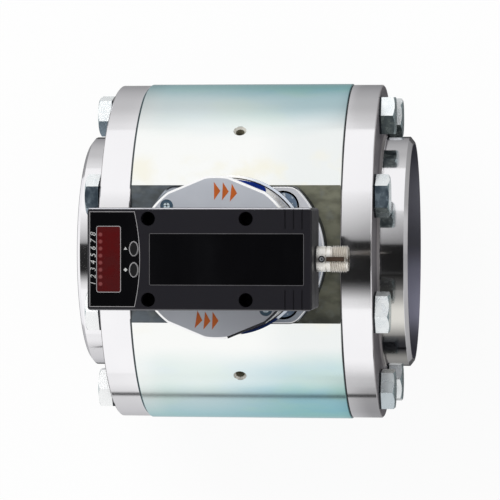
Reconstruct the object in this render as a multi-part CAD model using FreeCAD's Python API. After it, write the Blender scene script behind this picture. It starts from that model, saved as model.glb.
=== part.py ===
"""Compressed air flow meter: measuring body between two weld flanges, with a thermal sensor head.

Millimetres. X runs along the pipe with the flow, Z points up at the sensor head, and the origin is
the centre of the inlet weld end.
"""
import FreeCAD, Part
import math
import os

V = FreeCAD.Vector
AXIS_X = V(1, 0, 0)
AXIS_Z = V(0, 0, 1)

# Weld stubs
PIPE_OD = 114.3
PIPE_WALL = 3.6
STUB_LENGTH = 15.0
ROOT_FACE = 1.2
BEVEL_ANGLE = 37.5
ROOT_FILLET = 2.0

# Flanges and their bolts
FLANGE_THICKNESS = 15.0
FLANGE_CHAMFER = 0.6
EDGE_BREAK = 0.5
BORE_EDGE = 0.8
BOLT_COUNT = 8
BOLT_STANDOFF = 15.35
BOLT_EDGE = 10.5
BOLT_SIZE = 12.0
BOLT_ACROSS_FLATS = 18.0
BOLT_HEAD = 7.5
BOLT_LENGTH = 30.0
INLET_HEX_TURNS = (34.0, 14.5, 40.0, 25.0, 52.0, 18.0, 2.0, 0.0)
OUTLET_HEX_TURNS = (32.0, 1.5, 20.0, 45.0, 15.0, 50.0, 7.0, 10.5)
HEX_CHAMFER_ANGLE = 30.0
TAP_RUNOUT = 3.0
SEAL_STANDOFF = 6.0
SEAL_WIDTH = 3.4
SEAL_HEIGHT = 2.6

# Measuring body
BODY_LENGTH = 101.0
BODY_PROUD = 0.5
FLAT_DEPTH = 6.75
PORT_SIZE = 4.2
PORT_SINK = 6.4
PORT_DEPTH = 12.0
PORT_ANGLE = 45.0

# Sensor base plate
BASE_RADIUS = 44.0
BASE_THICKNESS = 16.0
BASE_MARGIN = 0.4
BASE_CORNER = 7.0
BASE_EDGE = 0.8
BASE_SCREW_SPAN = 49.0
BASE_SCREW_EDGE = 9.7
BASE_SCREW_SIZE = 8.0
BASE_SCREW_HEAD = 13.0
BASE_SCREW_SOCKET = 6.0
BASE_SCREW_GRIP = 13.0
COUNTERBORE_GAP = 1.0
COUNTERBORE_RIM = 1.0
SPIGOT_RADIUS = 16.0
SPIGOT_RECESS = 0.5
FACE_SEAL_STANDOFF = 4.0

# Sensor neck and arrow plate
WAIST_RADIUS = 24.0
WAIST_HEIGHT = 3.0
COLLAR_RADIUS = 37.5
COLLAR_HEIGHT = 3.0
COLLAR_CHAMFER = 1.2
COLUMN_RADIUS = 36.0
COLUMN_HEIGHT = 45.25
FLAT_COUNT = 8
FLAT_CUT = 1.15
FLAT_FOOT = 0.15
NECK_WALL = 7.0
NECK_FLOOR = 8.0
NECK_SCREW_SIZE = 5.0
NECK_SCREW_HEAD = 8.5
NECK_SCREW_SOCKET = 4.0
NECK_SCREW_STANDOFF = 5.0
NECK_SCREW_COUNT = 4
NECK_SCREW_GRIP = 8.0
PLATE_THICKNESS = 6.0
PLATE_OVERHANG = 1.0
PLATE_BEVEL = 1.0
PLATE_SPIGOT = 5.0
PLATE_SCREW_SIZE = 3.0
PLATE_SCREW_HEAD = 5.7
PLATE_SCREW_SLOT = 0.8
PLATE_SCREW_ANGLE = 134.0
PLATE_SCREW_GRIP = 8.0
CABLE_HOLE = 14.0
NECK_SEAL_SIZE = 2.0

# Thermal probe
PROBE_RADIUS = 8.0
PROBE_WALL = 1.5
PROBE_TIP_HEIGHT = 15.0
PROBE_FLANGE = 6.0
PROBE_FLANGE_HEIGHT = 4.0
PROBE_SEAL_SIZE = 2.4
TIP_RADIUS = 1.6
TIP_SPACING = 7.2
TIP_SEAT = 4.0
SENSOR_BOARD_RADIUS = 26.0
SENSOR_BOARD_HEIGHT = 11.0
PILLAR_RADIUS = 2.5
PILLAR_INSET = 4.0

# Electronics housing
HOUSING_LENGTH = 99.7
HOUSING_WIDTH = 45.2
HOUSING_SHIFT = -3.1
HOUSING_WALL = 2.5
HOUSING_CORNER = 1.5
HOUSING_EDGE = 0.8
FOOT_HEIGHT = 2.0
TRAY_HEIGHT = 6.0
GASKET_THICKNESS = 0.6
COVER_HEIGHT = 26.4
WELL_RADIUS = 3.15
WELL_WALL = 1.25
WELL_INSET = 27.1
WELL_SPAN = 43.4
WELL_EDGE = 4.7
WELL_SEAT = 5.4
HOUSING_SCREW_SIZE = 3.0
HOUSING_SCREW_HEAD = 5.5
HOUSING_SCREW_HEAD_HEIGHT = 3.0
HOUSING_SCREW_SLOT = 0.8
HOUSING_SCREW_SLOT_DEPTH = 1.0
HOUSING_SCREW_GRIP = 8.0
CABLE_WALL = 2.0
GROOVE_COUNT = 3
GROOVE_PITCH = 3.75
GROOVE_INSET = 4.25
GROOVE_WIDTH = 0.6
GROOVE_DEPTH = 0.5
GROOVE_LENGTH = 9.1

# Display end and label plate
FILM_INSET = 1.0
FILM_MARGIN = 1.5
FILM_REACH = 20.2
FILM_BULGE = 2.4
FILM_THICKNESS = 0.5
WINDOW_INSET = 4.2
WINDOW_LENGTH = 10.7
WINDOW_WIDTH = 29.1
WINDOW_RIM = 1.0
WINDOW_RIM_HEIGHT = 0.9
LED_COUNT = 8
LED_PITCH = 3.12
LED_INSET = 1.7
LED_SIZE = 1.2
DIGIT_LENGTH = 6.6
DIGIT_WIDTH = 27.0
DIGIT_HEIGHT = 6.5
LABEL_INSET = 27.5
LABEL_END = 3.35
LABEL_WIDTH = 23.2
LABEL_RECESS = 0.5
LABEL_THICKNESS = 0.4
BUTTON_LENGTH = 3.8
BUTTON_WIDTH = 6.3
BUTTON_INSET = 20.8
BUTTON_SPACING = 9.3
BUTTON_PROUD = 0.5
BUTTON_LIP = 0.8
BUTTON_LIP_HEIGHT = 0.8
BUTTON_STEM = 1.2
BUTTON_STEM_LENGTH = 2.4
BUTTON_TRAVEL = 0.4
SWITCH_SIZE = 3.6
SWITCH_HEIGHT = 2.8

# Circuit boards
BOARD_THICKNESS = 1.6
BOARD_MARGIN = 0.6
BOARD_TONGUE = 3.6
POST_RADIUS = 1.5
MAIN_BOARD_STANDOFF = 3.0
MAIN_BOARD_LENGTH = 70.0
MAIN_BOARD_INSET = 6.0
MAIN_POST_RADIUS = 2.5
HEADER_LENGTH = 2.5
HEADER_WIDTH = 12.0
HEADER_INSET = 8.0
CAPACITOR_RADIUS = 4.0
CAPACITOR_HEIGHT = 9.0
CHIP_SIZE = 7.0
CHIP_HEIGHT = 1.5
CHIP_PITCH = 11.0
CHIP_COUNT = 3

# Plug connector
CONNECTOR_RISE = 16.0
CONNECTOR_THREAD = 12.0
CONNECTOR_THREAD_LENGTH = 8.0
CONNECTOR_COLLAR = 11.4
CONNECTOR_COLLAR_LENGTH = 6.3
CONNECTOR_BAND = 1.9
CONNECTOR_GROOVE = 0.3
CONNECTOR_TAIL = 6.0
CONNECTOR_TAIL_SIZE = 10.4
CONNECTOR_BORE = 8.8
CONNECTOR_CUP = 7.0
CONNECTOR_CHAMFER = 0.6
KEYWAY_WIDTH = 2.0
KEYWAY_DEPTH = 0.9
KEYWAY_END = 1.6
PIN_COUNT = 4
PIN_RADIUS = 0.5
PIN_CIRCLE = 2.2
PIN_SHY = 1.5
PIN_TAIL = 3.0
NUT_ACROSS_FLATS = 16.0
NUT_THICKNESS = 2.6
SET_SCREW_INSET = 1.75
SET_SCREW_RADIUS = 1.3
SET_SCREW_DEPTH = 0.9
SET_SCREW_LENGTH = 0.7
SET_SCREW_SOCKET = 0.6

# Clearances
THREAD_GAP = 0.1
BOLT_GAP = 0.5
FIT_GAP = 0.1
SLIDE_GAP = 0.15
SWITCH_GAP = 0.1
SEAL_GAP = 0.3

# Stations along the pipe and heights that follow from the sizes above
pipe_r = PIPE_OD / 2
bore_r = pipe_r - PIPE_WALL
bolt_r = pipe_r + BOLT_STANDOFF
flange_r = bolt_r + BOLT_EDGE
body_r = flange_r + BODY_PROUD
seal_r = bore_r + SEAL_STANDOFF
x_face = STUB_LENGTH
x_body = STUB_LENGTH + FLANGE_THICKNESS
x_mid = x_body + BODY_LENGTH / 2
flat_z = body_r - FLAT_DEPTH
flat_half = math.sqrt(body_r ** 2 - flat_z ** 2)
base_half = flat_half - BASE_MARGIN
base_top = flat_z + BASE_THICKNESS
collar_z = base_top + WAIST_HEIGHT
column_z = collar_z + COLLAR_HEIGHT
plate_z = column_z + COLUMN_HEIGHT
plate_top = plate_z + PLATE_THICKNESS
neck_r = COLUMN_RADIUS - NECK_WALL
neck_floor = base_top + NECK_FLOOR
tray_z = plate_top + FOOT_HEIGHT
cover_z = tray_z + TRAY_HEIGHT + GASKET_THICKNESS
top_z = cover_z + COVER_HEIGHT
ceiling_z = top_z - HOUSING_WALL
house_x0 = x_mid + HOUSING_SHIFT - HOUSING_LENGTH / 2
house_x1 = house_x0 + HOUSING_LENGTH
house_half = HOUSING_WIDTH / 2
well_seat_z = cover_z + WELL_SEAT
connector_z = tray_z + CONNECTOR_RISE
main_board_z = tray_z + HOUSING_WALL + MAIN_BOARD_STANDOFF
digit_top = ceiling_z - WINDOW_RIM_HEIGHT - FIT_GAP
board_top = digit_top - DIGIT_HEIGHT
board_z = board_top - BOARD_THICKNESS


def rod_z(radius, z0, z1, x=0.0, y=0.0):
    """Upright cylinder between two heights."""
    return Part.makeCylinder(radius, z1 - z0, V(x, y, z0), AXIS_Z)


def rod_x(radius, x0, x1, y=0.0, z=0.0):
    """Cylinder along the pipe direction between two stations."""
    return Part.makeCylinder(radius, x1 - x0, V(x0, y, z), AXIS_X)


def block(x0, x1, y0, y1, z0, z1):
    """Box between two corners."""
    return Part.makeBox(x1 - x0, y1 - y0, z1 - z0, V(x0, y0, z0))


def fuse(shapes):
    """One clean solid from touching shapes."""
    return shapes[0].multiFuse(shapes[1:]).removeSplitter()


def cut(shape, tools):
    """Shape less all the tools."""
    return shape.cut(Part.makeCompound(tools))


def turned_z(points, x=0.0):
    """Solid turned about an upright axis from its (radius, height) outline."""
    corners = [V(x + r, 0, z) for r, z in points]
    face = Part.Face(Part.makePolygon(corners + corners[:1]))
    return face.revolve(V(x, 0, 0), AXIS_Z, 360)


def turned_x(points, z=0.0):
    """Solid turned about the pipe direction from its (station, radius) outline."""
    corners = [V(x, 0, z + r) for x, r in points]
    face = Part.Face(Part.makePolygon(corners + corners[:1]))
    return face.revolve(V(0, 0, z), AXIS_X, 360)


def ring_z(inner, outer, z0, z1, x=0.0):
    """Upright ring with a square section."""
    return turned_z([(inner, z0), (outer, z0), (outer, z1), (inner, z1)], x)


def ring_x(inner, outer, x0, x1, z=0.0):
    """Ring around the pipe direction with a square section."""
    return turned_x([(x0, inner), (x1, inner), (x1, outer), (x0, outer)], z)


def polygon_wire(sides, apothem, z, turn=0.0):
    """Level regular polygon about the Z axis, with a corner at the turn angle."""
    radius = apothem / math.cos(math.pi / sides)
    angles = [math.radians(turn + 360.0 * k / sides) for k in range(sides + 1)]
    return Part.makePolygon([V(radius * math.cos(a), radius * math.sin(a), z) for a in angles])


def polygon_prism(sides, apothem, height, turn=0.0):
    """Upright regular prism on the origin, with a corner at the turn angle."""
    return Part.Face(polygon_wire(sides, apothem, 0, turn)).extrude(V(0, 0, height))


def upright_edges(shape):
    """Straight edges of a prism that run from its bottom to its top."""
    height = shape.BoundBox.ZLength
    return [e for e in shape.Edges if e.BoundBox.ZLength > height / 2]


def top_edges(shape):
    """Edges that lie in the top face of a prism."""
    middle = shape.BoundBox.Center.z
    return [e for e in shape.Edges if e.BoundBox.ZMin > middle]


def rounded_block(x0, x1, y0, y1, z0, z1, radius):
    """Box with rounded upright edges."""
    box = block(x0, x1, y0, y1, z0, z1)
    return box.makeFillet(radius, upright_edges(box))


def oval_prism(length, width, z0, z1, x, y):
    """Upright oval prism, with its longer axis across the pipe."""
    outline = Part.Ellipse(V(x, y + width / 2, z0), V(x + length / 2, y, z0), V(x, y, z0))
    return Part.Face(Part.Wire(outline.toShape())).extrude(V(0, 0, z1 - z0))


def mirrored(shape):
    """Copy of an inlet piece on the outlet side."""
    return shape.mirror(V(x_mid, 0, 0), AXIS_X)


def around_pipe(count, radius):
    """Places on a circle round the pipe, straddling the top."""
    angles = [math.radians(360.0 * (k + 0.5) / count) for k in range(count)]
    return [(radius * math.sin(a), radius * math.cos(a)) for a in angles]


def around_head(count, radius, start=0.0):
    """Places on a circle round the sensor axis."""
    angles = [math.radians(start + 360.0 * k / count) for k in range(count)]
    return [(x_mid + radius * math.cos(a), radius * math.sin(a)) for a in angles]


def base_screw_places():
    """The four socket screws of the base plate."""
    reach = base_half - BASE_SCREW_EDGE
    return [(x_mid + sx * BASE_SCREW_SPAN / 2, sy * reach) for sx in (-1, 1) for sy in (-1, 1)]


def well_places():
    """The four screw wells of the housing."""
    reach = house_half - WELL_EDGE
    stations = (house_x0 + WELL_INSET, house_x0 + WELL_INSET + WELL_SPAN)
    return [(x, sy * reach) for x in stations for sy in (-1, 1)]


def plate_screw_places():
    """The two screws of the arrow plate, on a diagonal over the neck wall."""
    radius = COLUMN_RADIUS - NECK_WALL / 2
    return around_head(2, radius, PLATE_SCREW_ANGLE)


def neck_screw_places():
    """The screws that hold the neck on the base plate."""
    return around_head(NECK_SCREW_COUNT, WAIST_RADIUS - NECK_SCREW_STANDOFF)


def pillar_places():
    """The pillars under the sensor board, between the neck screws."""
    return around_head(NECK_SCREW_COUNT, SENSOR_BOARD_RADIUS - PILLAR_INSET, 180.0 / NECK_SCREW_COUNT)


def button_places():
    """The two push buttons."""
    x = house_x0 + BUTTON_INSET
    return [(x, -BUTTON_SPACING / 2), (x, BUTTON_SPACING / 2)]


def weld_flange():
    """Inlet flange turned in one piece with its weld stub."""
    bevel = (PIPE_WALL - ROOT_FACE) * math.tan(math.radians(BEVEL_ANGLE))
    lean = ROOT_FILLET * (1 - math.sqrt(0.5))
    start = V(x_face - ROOT_FILLET, 0, pipe_r)
    middle = V(x_face - lean, 0, pipe_r + lean)
    end = V(x_face, 0, pipe_r + ROOT_FILLET)
    rim = [V(x_face, 0, flange_r - FLANGE_CHAMFER), V(x_face + FLANGE_CHAMFER, 0, flange_r),
           V(x_body - EDGE_BREAK, 0, flange_r), V(x_body, 0, flange_r - EDGE_BREAK),
           V(x_body, 0, bore_r + BORE_EDGE), V(x_body - BORE_EDGE, 0, bore_r), V(0, 0, bore_r),
           V(0, 0, bore_r + ROOT_FACE), V(bevel, 0, pipe_r)]
    edges = [Part.Arc(start, middle, end).toShape()]
    edges += Part.makePolygon([end] + rim + [start]).Edges
    turned = Part.Face(Part.Wire(edges)).revolve(V(0, 0, 0), AXIS_X, 360)
    hole = BOLT_SIZE / 2 + BOLT_GAP
    tools = [rod_x(hole, x_face, x_body, y, z) for y, z in around_pipe(BOLT_COUNT, bolt_r)]
    half = SEAL_WIDTH / 2 + SEAL_GAP
    tools.append(ring_x(seal_r - half, seal_r + half, x_body - SEAL_HEIGHT, x_body))
    return cut(turned, tools)


def flange_seal():
    """Seal ring squeezed in the groove of the inlet flange."""
    half = SEAL_WIDTH / 2
    return ring_x(seal_r - half, seal_r + half, x_body - SEAL_HEIGHT, x_body)


def hex_bolt(turn):
    """Hex head bolt on the origin: shank up along Z, head below with a rounded-off end."""
    half = BOLT_ACROSS_FLATS / 2
    corner = half / math.cos(math.pi / 6)
    slope = (corner - half) * math.tan(math.radians(HEX_CHAMFER_ANGLE))
    prism = polygon_prism(6, half, BOLT_HEAD, turn)
    prism.translate(V(0, 0, -BOLT_HEAD))
    dome = turned_z([(0, -BOLT_HEAD), (half, -BOLT_HEAD), (corner, slope - BOLT_HEAD), (corner, 0), (0, 0)])
    head = prism.common(dome)
    return fuse([head, rod_z(BOLT_SIZE / 2, 0, BOLT_LENGTH)])


def flange_bolts(turns):
    """Bolts on the inlet side, each tightened to its own turn."""
    bolts = []
    for k, (y, z) in enumerate(around_pipe(BOLT_COUNT, bolt_r)):
        bolt = hex_bolt(turns[k % len(turns)])
        bolt.rotate(V(0, 0, 0), V(0, 1, 0), 90)
        bolt.translate(V(x_face, y, z))
        bolts.append(bolt)
    return Part.makeCompound(bolts)


def measuring_body():
    """Turned ring with the milled flat, the sensor bore and the tapped holes."""
    x_end = x_body + BODY_LENGTH
    inner = bore_r + BORE_EDGE
    outer = body_r - EDGE_BREAK
    ring = turned_x([(x_body, inner), (x_body + BORE_EDGE, bore_r), (x_end - BORE_EDGE, bore_r),
                     (x_end, inner), (x_end, outer), (x_end - EDGE_BREAK, body_r),
                     (x_body + EDGE_BREAK, body_r), (x_body, outer)])
    tools = [block(x_body, x_end, -body_r, body_r, flat_z, body_r)]
    tools.append(rod_z(SPIGOT_RADIUS + FIT_GAP, 0, flat_z, x_mid))
    depth = BOLT_LENGTH - FLANGE_THICKNESS + TAP_RUNOUT
    for y, z in around_pipe(BOLT_COUNT, bolt_r):
        hole = rod_x(BOLT_SIZE / 2 + THREAD_GAP, x_body, x_body + depth, y, z)
        tools += [hole, mirrored(hole)]
    for x, y in base_screw_places():
        bottom = flat_z - BASE_SCREW_GRIP - TAP_RUNOUT
        tools.append(rod_z(BASE_SCREW_SIZE / 2 + THREAD_GAP, bottom, flat_z, x, y))
    sink = (PORT_SINK - PORT_SIZE) / 2
    outline = [(0, body_r - PORT_DEPTH), (PORT_SIZE / 2, body_r - PORT_DEPTH),
               (PORT_SIZE / 2, body_r - sink), (PORT_SINK / 2, body_r), (PORT_SINK / 2, body_r + sink),
               (0, body_r + sink)]
    for angle in (-PORT_ANGLE, PORT_ANGLE):
        port = turned_z(outline, x_mid)
        port.rotate(V(x_mid, 0, 0), AXIS_X, angle)
        tools.append(port)
    return cut(ring, tools)


def sensor_base_plate():
    """Disc cut to the width of the flat, with a spigot down to the bore."""
    disc = rod_z(BASE_RADIUS, flat_z, base_top, x_mid)
    trim = block(x_mid - BASE_RADIUS, x_mid + BASE_RADIUS, -base_half, base_half, flat_z, base_top)
    plate = disc.common(trim)
    corners = [e for e in upright_edges(plate) if abs(abs(e.CenterOfMass.y) - base_half) < FIT_GAP]
    plate = plate.makeFillet(BASE_CORNER, corners)
    plate = plate.makeChamfer(BASE_EDGE, top_edges(plate))
    spigot = rod_z(SPIGOT_RADIUS, bore_r + SPIGOT_RECESS, flat_z, x_mid)
    plate = fuse([plate, spigot])
    seat = base_top - COUNTERBORE_RIM - BASE_SCREW_SIZE
    tools = [rod_z(PROBE_RADIUS + FIT_GAP, 0, base_top, x_mid)]
    for x, y in base_screw_places():
        tools.append(rod_z(BASE_SCREW_HEAD / 2 + COUNTERBORE_GAP, seat, base_top, x, y))
        tools.append(rod_z(BASE_SCREW_SIZE / 2 + BOLT_GAP, flat_z, base_top, x, y))
    for x, y in neck_screw_places():
        depth = NECK_SCREW_GRIP + TAP_RUNOUT
        tools.append(rod_z(NECK_SCREW_SIZE / 2 + THREAD_GAP, base_top - depth, base_top, x, y))
    inner = SPIGOT_RADIUS + FACE_SEAL_STANDOFF - SEAL_GAP
    outer = inner + SEAL_WIDTH + 2 * SEAL_GAP
    tools.append(ring_z(inner, outer, flat_z, flat_z + SEAL_HEIGHT, x_mid))
    groove = PROBE_RADIUS + FIT_GAP + PROBE_SEAL_SIZE
    tools.append(rod_z(groove, base_top - PROBE_SEAL_SIZE, base_top, x_mid))
    return cut(plate, tools)


def base_plate_seal():
    """Face seal between the base plate and the flat."""
    inner = SPIGOT_RADIUS + FACE_SEAL_STANDOFF
    return ring_z(inner, inner + SEAL_WIDTH, flat_z, flat_z + SEAL_HEIGHT, x_mid)


def socket_screw(size, head, grip, seat, socket):
    """Socket head screw on the Z axis, with its head on the seat height."""
    shank = rod_z(size / 2, seat - grip, seat)
    cap = rod_z(head / 2, seat, seat + size)
    hexagon = polygon_prism(6, socket / 2, size / 2)
    hexagon.translate(V(0, 0, seat + size / 2))
    return fuse([shank, cap]).cut(hexagon)


def placed(shape, places):
    """Copies of a shape made on the Z axis, one at each (x, y) place."""
    copies = []
    for x, y in places:
        copy = shape.copy()
        copy.translate(V(x, y, 0))
        copies.append(copy)
    return Part.makeCompound(copies)


def base_plate_screws():
    """Four socket screws through the base plate into the body."""
    seat = base_top - COUNTERBORE_RIM - BASE_SCREW_SIZE
    grip = seat - flat_z + BASE_SCREW_GRIP
    screw = socket_screw(BASE_SCREW_SIZE, BASE_SCREW_HEAD, grip, seat, BASE_SCREW_SOCKET)
    return placed(screw, base_screw_places())


def flatted_column(outline):
    """Round column with flats between round lands, from its (radius, height, flat depth) outline."""
    bottom = (0, outline[0][1])
    top = (0, outline[-1][1])
    column = turned_z([bottom] + [(r, z) for r, z, depth in outline] + [top], x_mid)
    rings = [polygon_wire(FLAT_COUNT, r - depth, z) for r, z, depth in outline]
    flats = Part.makeLoft(rings, True, True)
    flats.translate(V(x_mid, 0, 0))
    return column.common(flats)


def sensor_neck():
    """Hollow neck: waist, round collar and the tall column, whose flats run out at its foot."""
    edge = COLLAR_RADIUS - COLLAR_CHAMFER
    foot = turned_z([(0, base_top), (WAIST_RADIUS, base_top), (WAIST_RADIUS, collar_z),
                     (COLLAR_RADIUS, collar_z), (COLLAR_RADIUS, column_z - COLLAR_CHAMFER),
                     (edge, column_z), (0, column_z)], x_mid)
    column = flatted_column([(COLUMN_RADIUS, column_z, FLAT_FOOT), (COLUMN_RADIUS, plate_z, FLAT_CUT)])
    neck = fuse([foot, column])
    pocket = PROBE_RADIUS + PROBE_FLANGE + FIT_GAP
    tools = [rod_z(neck_r, neck_floor, plate_z, x_mid)]
    tools.append(rod_z(pocket, base_top, base_top + PROBE_FLANGE_HEIGHT, x_mid))
    tools.append(rod_z(PROBE_RADIUS - PROBE_WALL, base_top, neck_floor, x_mid))
    for x, y in neck_screw_places():
        tools.append(rod_z(NECK_SCREW_SIZE / 2 + FIT_GAP, base_top, neck_floor, x, y))
    for x, y in plate_screw_places():
        depth = PLATE_SCREW_GRIP + TAP_RUNOUT
        tools.append(rod_z(PLATE_SCREW_SIZE / 2 + THREAD_GAP, plate_z - depth, plate_z, x, y))
    for x, y in well_places():
        depth = HOUSING_SCREW_GRIP + TAP_RUNOUT
        tools.append(rod_z(HOUSING_SCREW_SIZE / 2 + THREAD_GAP, plate_top - depth, plate_top, x, y))
    return cut(neck, tools)


def neck_screws():
    """Socket screws inside the neck, down into the base plate."""
    grip = NECK_FLOOR + NECK_SCREW_GRIP
    screw = socket_screw(NECK_SCREW_SIZE, NECK_SCREW_HEAD, grip, neck_floor, NECK_SCREW_SOCKET)
    return placed(screw, neck_screw_places())


def arrow_plate():
    """Top plate of the neck with a bevelled edge, a spigot and the cable hole."""
    radius = COLUMN_RADIUS + PLATE_OVERHANG
    plate = flatted_column([(radius, plate_z, FLAT_CUT), (radius, plate_top - PLATE_BEVEL, FLAT_CUT),
                            (radius - PLATE_BEVEL, plate_top, FLAT_CUT)])
    spigot = rod_z(neck_r - FIT_GAP, plate_z - PLATE_SPIGOT, plate_z, x_mid)
    plate = fuse([plate, spigot])
    middle = plate_z - PLATE_SPIGOT / 2
    groove = ring_z(neck_r - NECK_SEAL_SIZE, neck_r, middle - NECK_SEAL_SIZE / 2 - SEAL_GAP,
                    middle + NECK_SEAL_SIZE / 2 + SEAL_GAP, x_mid)
    tools = [groove, rod_z(CABLE_HOLE / 2, plate_z - PLATE_SPIGOT, plate_top, x_mid)]
    bottom = plate_z - PLATE_SPIGOT
    for x, y in well_places():
        tools.append(rod_z(HOUSING_SCREW_SIZE / 2 + THREAD_GAP, bottom, plate_top, x, y))
    sink = (PLATE_SCREW_HEAD - PLATE_SCREW_SIZE) / 2
    hole = PLATE_SCREW_SIZE / 2 + FIT_GAP
    seat = [(0, plate_z), (hole, plate_z), (hole, plate_top - sink), (hole + sink, plate_top),
            (0, plate_top)]
    tools.append(placed(turned_z(seat), plate_screw_places()))
    return cut(plate, tools)


def arrow_plate_screws():
    """Two countersunk screws with cross recesses."""
    sink = (PLATE_SCREW_HEAD - PLATE_SCREW_SIZE) / 2
    shank = PLATE_SCREW_SIZE / 2
    screw = turned_z([(0, plate_z - PLATE_SCREW_GRIP), (shank, plate_z - PLATE_SCREW_GRIP),
                      (shank, plate_top - sink), (shank + sink, plate_top), (0, plate_top)])
    slot = PLATE_SCREW_SLOT / 2
    bars = [block(-shank, shank, -slot, slot, plate_top - sink / 2, plate_top),
            block(-slot, slot, -shank, shank, plate_top - sink / 2, plate_top)]
    return placed(cut(screw, bars), plate_screw_places())


def neck_seal():
    """Seal ring round the arrow plate's spigot."""
    middle = plate_z - PLATE_SPIGOT / 2
    return ring_z(neck_r - NECK_SEAL_SIZE, neck_r, middle - NECK_SEAL_SIZE / 2,
                  middle + NECK_SEAL_SIZE / 2, x_mid)


def probe_tube():
    """Closed tube with a flange, from the neck down into the flow."""
    inner = PROBE_RADIUS - PROBE_WALL
    flange = PROBE_RADIUS + PROBE_FLANGE
    top = base_top + PROBE_FLANGE_HEIGHT
    shell = turned_z([(0, PROBE_TIP_HEIGHT), (PROBE_RADIUS - PROBE_WALL, PROBE_TIP_HEIGHT),
                      (PROBE_RADIUS, PROBE_TIP_HEIGHT + PROBE_WALL), (PROBE_RADIUS, base_top),
                      (flange, base_top), (flange, top), (inner, top),
                      (inner, PROBE_TIP_HEIGHT + TIP_SEAT), (0, PROBE_TIP_HEIGHT + TIP_SEAT)], x_mid)
    holes = [rod_z(TIP_RADIUS, PROBE_TIP_HEIGHT, PROBE_TIP_HEIGHT + TIP_SEAT, x_mid, y)
             for y in (-TIP_SPACING / 2, TIP_SPACING / 2)]
    return cut(shell, holes)


def probe_tip(side):
    """Sensing tip with a rounded end at the middle of the bore."""
    y = side * TIP_SPACING / 2
    rod = rod_z(TIP_RADIUS, TIP_RADIUS, PROBE_TIP_HEIGHT + TIP_SEAT, x_mid, y)
    end = Part.makeSphere(TIP_RADIUS, V(x_mid, y, TIP_RADIUS))
    return fuse([rod, end])


def probe_seal():
    """Seal ring under the probe flange."""
    inner = PROBE_RADIUS + FIT_GAP
    return ring_z(inner, inner + PROBE_SEAL_SIZE, base_top - PROBE_SEAL_SIZE, base_top, x_mid)


def sensor_board():
    """Round circuit board in the neck."""
    z = neck_floor + SENSOR_BOARD_HEIGHT
    return rod_z(SENSOR_BOARD_RADIUS, z, z + BOARD_THICKNESS, x_mid)


def sensor_board_pillars():
    """Pillars between the neck floor and the sensor board."""
    pillar = rod_z(PILLAR_RADIUS, neck_floor, neck_floor + SENSOR_BOARD_HEIGHT)
    return placed(pillar, pillar_places())


def housing_base():
    """Shallow tray with feet on the arrow plate, a cable tube and posts for the main board."""
    rim = tray_z + TRAY_HEIGHT
    floor = tray_z + HOUSING_WALL
    tray = rounded_block(house_x0, house_x1, -house_half, house_half, tray_z, rim, HOUSING_CORNER)
    inside = block(house_x0 + HOUSING_WALL, house_x1 - HOUSING_WALL, HOUSING_WALL - house_half,
                   house_half - HOUSING_WALL, floor, rim)
    tray = tray.cut(inside)
    boss = WELL_RADIUS + WELL_WALL
    parts = [tray, rod_z(CABLE_HOLE / 2 + CABLE_WALL, plate_top, floor, x_mid)]
    parts += [rod_z(boss, plate_top, rim, x, y) for x, y in well_places()]
    parts += [rod_z(MAIN_POST_RADIUS, floor, main_board_z, x, y) for x, y in main_post_places()]
    tools = [rod_z(HOUSING_SCREW_SIZE / 2 + FIT_GAP, plate_top, rim, x, y) for x, y in well_places()]
    tools.append(rod_z(CABLE_HOLE / 2, plate_top, floor, x_mid))
    return cut(fuse(parts), tools)


def main_post_places():
    """Posts under the corners of the main board."""
    x0 = house_x0 + MAIN_BOARD_INSET + MAIN_POST_RADIUS
    x1 = house_x0 + MAIN_BOARD_INSET + MAIN_BOARD_LENGTH - MAIN_POST_RADIUS
    reach = main_board_half() - MAIN_POST_RADIUS
    return [(x, sy * reach) for x in (x0, x1) for sy in (-1, 1)]


def main_board_half():
    """Half width of the main board, which passes between the wells."""
    return house_half - WELL_EDGE - WELL_RADIUS - WELL_WALL - BOARD_MARGIN


def housing_gasket():
    """Flat gasket between tray and cover, open where the screws pass."""
    z0 = tray_z + TRAY_HEIGHT
    frame = rounded_block(house_x0, house_x1, -house_half, house_half, z0, cover_z, HOUSING_CORNER)
    inside = block(house_x0 + HOUSING_WALL, house_x1 - HOUSING_WALL, HOUSING_WALL - house_half,
                   house_half - HOUSING_WALL, z0, cover_z)
    frame = frame.cut(inside)
    boss = WELL_RADIUS + WELL_WALL
    frame = fuse([frame] + [rod_z(boss, z0, cover_z, x, y) for x, y in well_places()])
    return cut(frame, [rod_z(HOUSING_SCREW_SIZE / 2 + FIT_GAP, z0, cover_z, x, y) for x, y in well_places()])


def film_shape(z0, z1, grow):
    """Outline of the front film: square at the end of the housing, bowed towards the middle."""
    x0 = house_x0 + FILM_INSET - grow
    x1 = house_x0 + FILM_INSET + FILM_REACH + grow
    half = house_half - FILM_MARGIN + grow
    bow = Part.Arc(V(x1, -half, z0), V(x1 + FILM_BULGE, 0, z0), V(x1, half, z0)).toShape()
    sides = Part.makePolygon([V(x1, half, z0), V(x0, half, z0), V(x0, -half, z0), V(x1, -half, z0)])
    return Part.Face(Part.Wire([bow] + sides.Edges)).extrude(V(0, 0, z1 - z0))


def window_block(grow, z0, z1):
    """Box over the display window, grown on all four sides."""
    x0 = house_x0 + WINDOW_INSET
    half = WINDOW_WIDTH / 2 + grow
    return block(x0 - grow, x0 + WINDOW_LENGTH + grow, -half, half, z0, z1)


def label_block(shrink, z0, z1):
    """Box over the label recess, shrunk on all four sides."""
    half = LABEL_WIDTH / 2 - shrink
    return block(house_x0 + LABEL_INSET + shrink, house_x1 - LABEL_END - shrink, -half, half, z0, z1)


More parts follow.
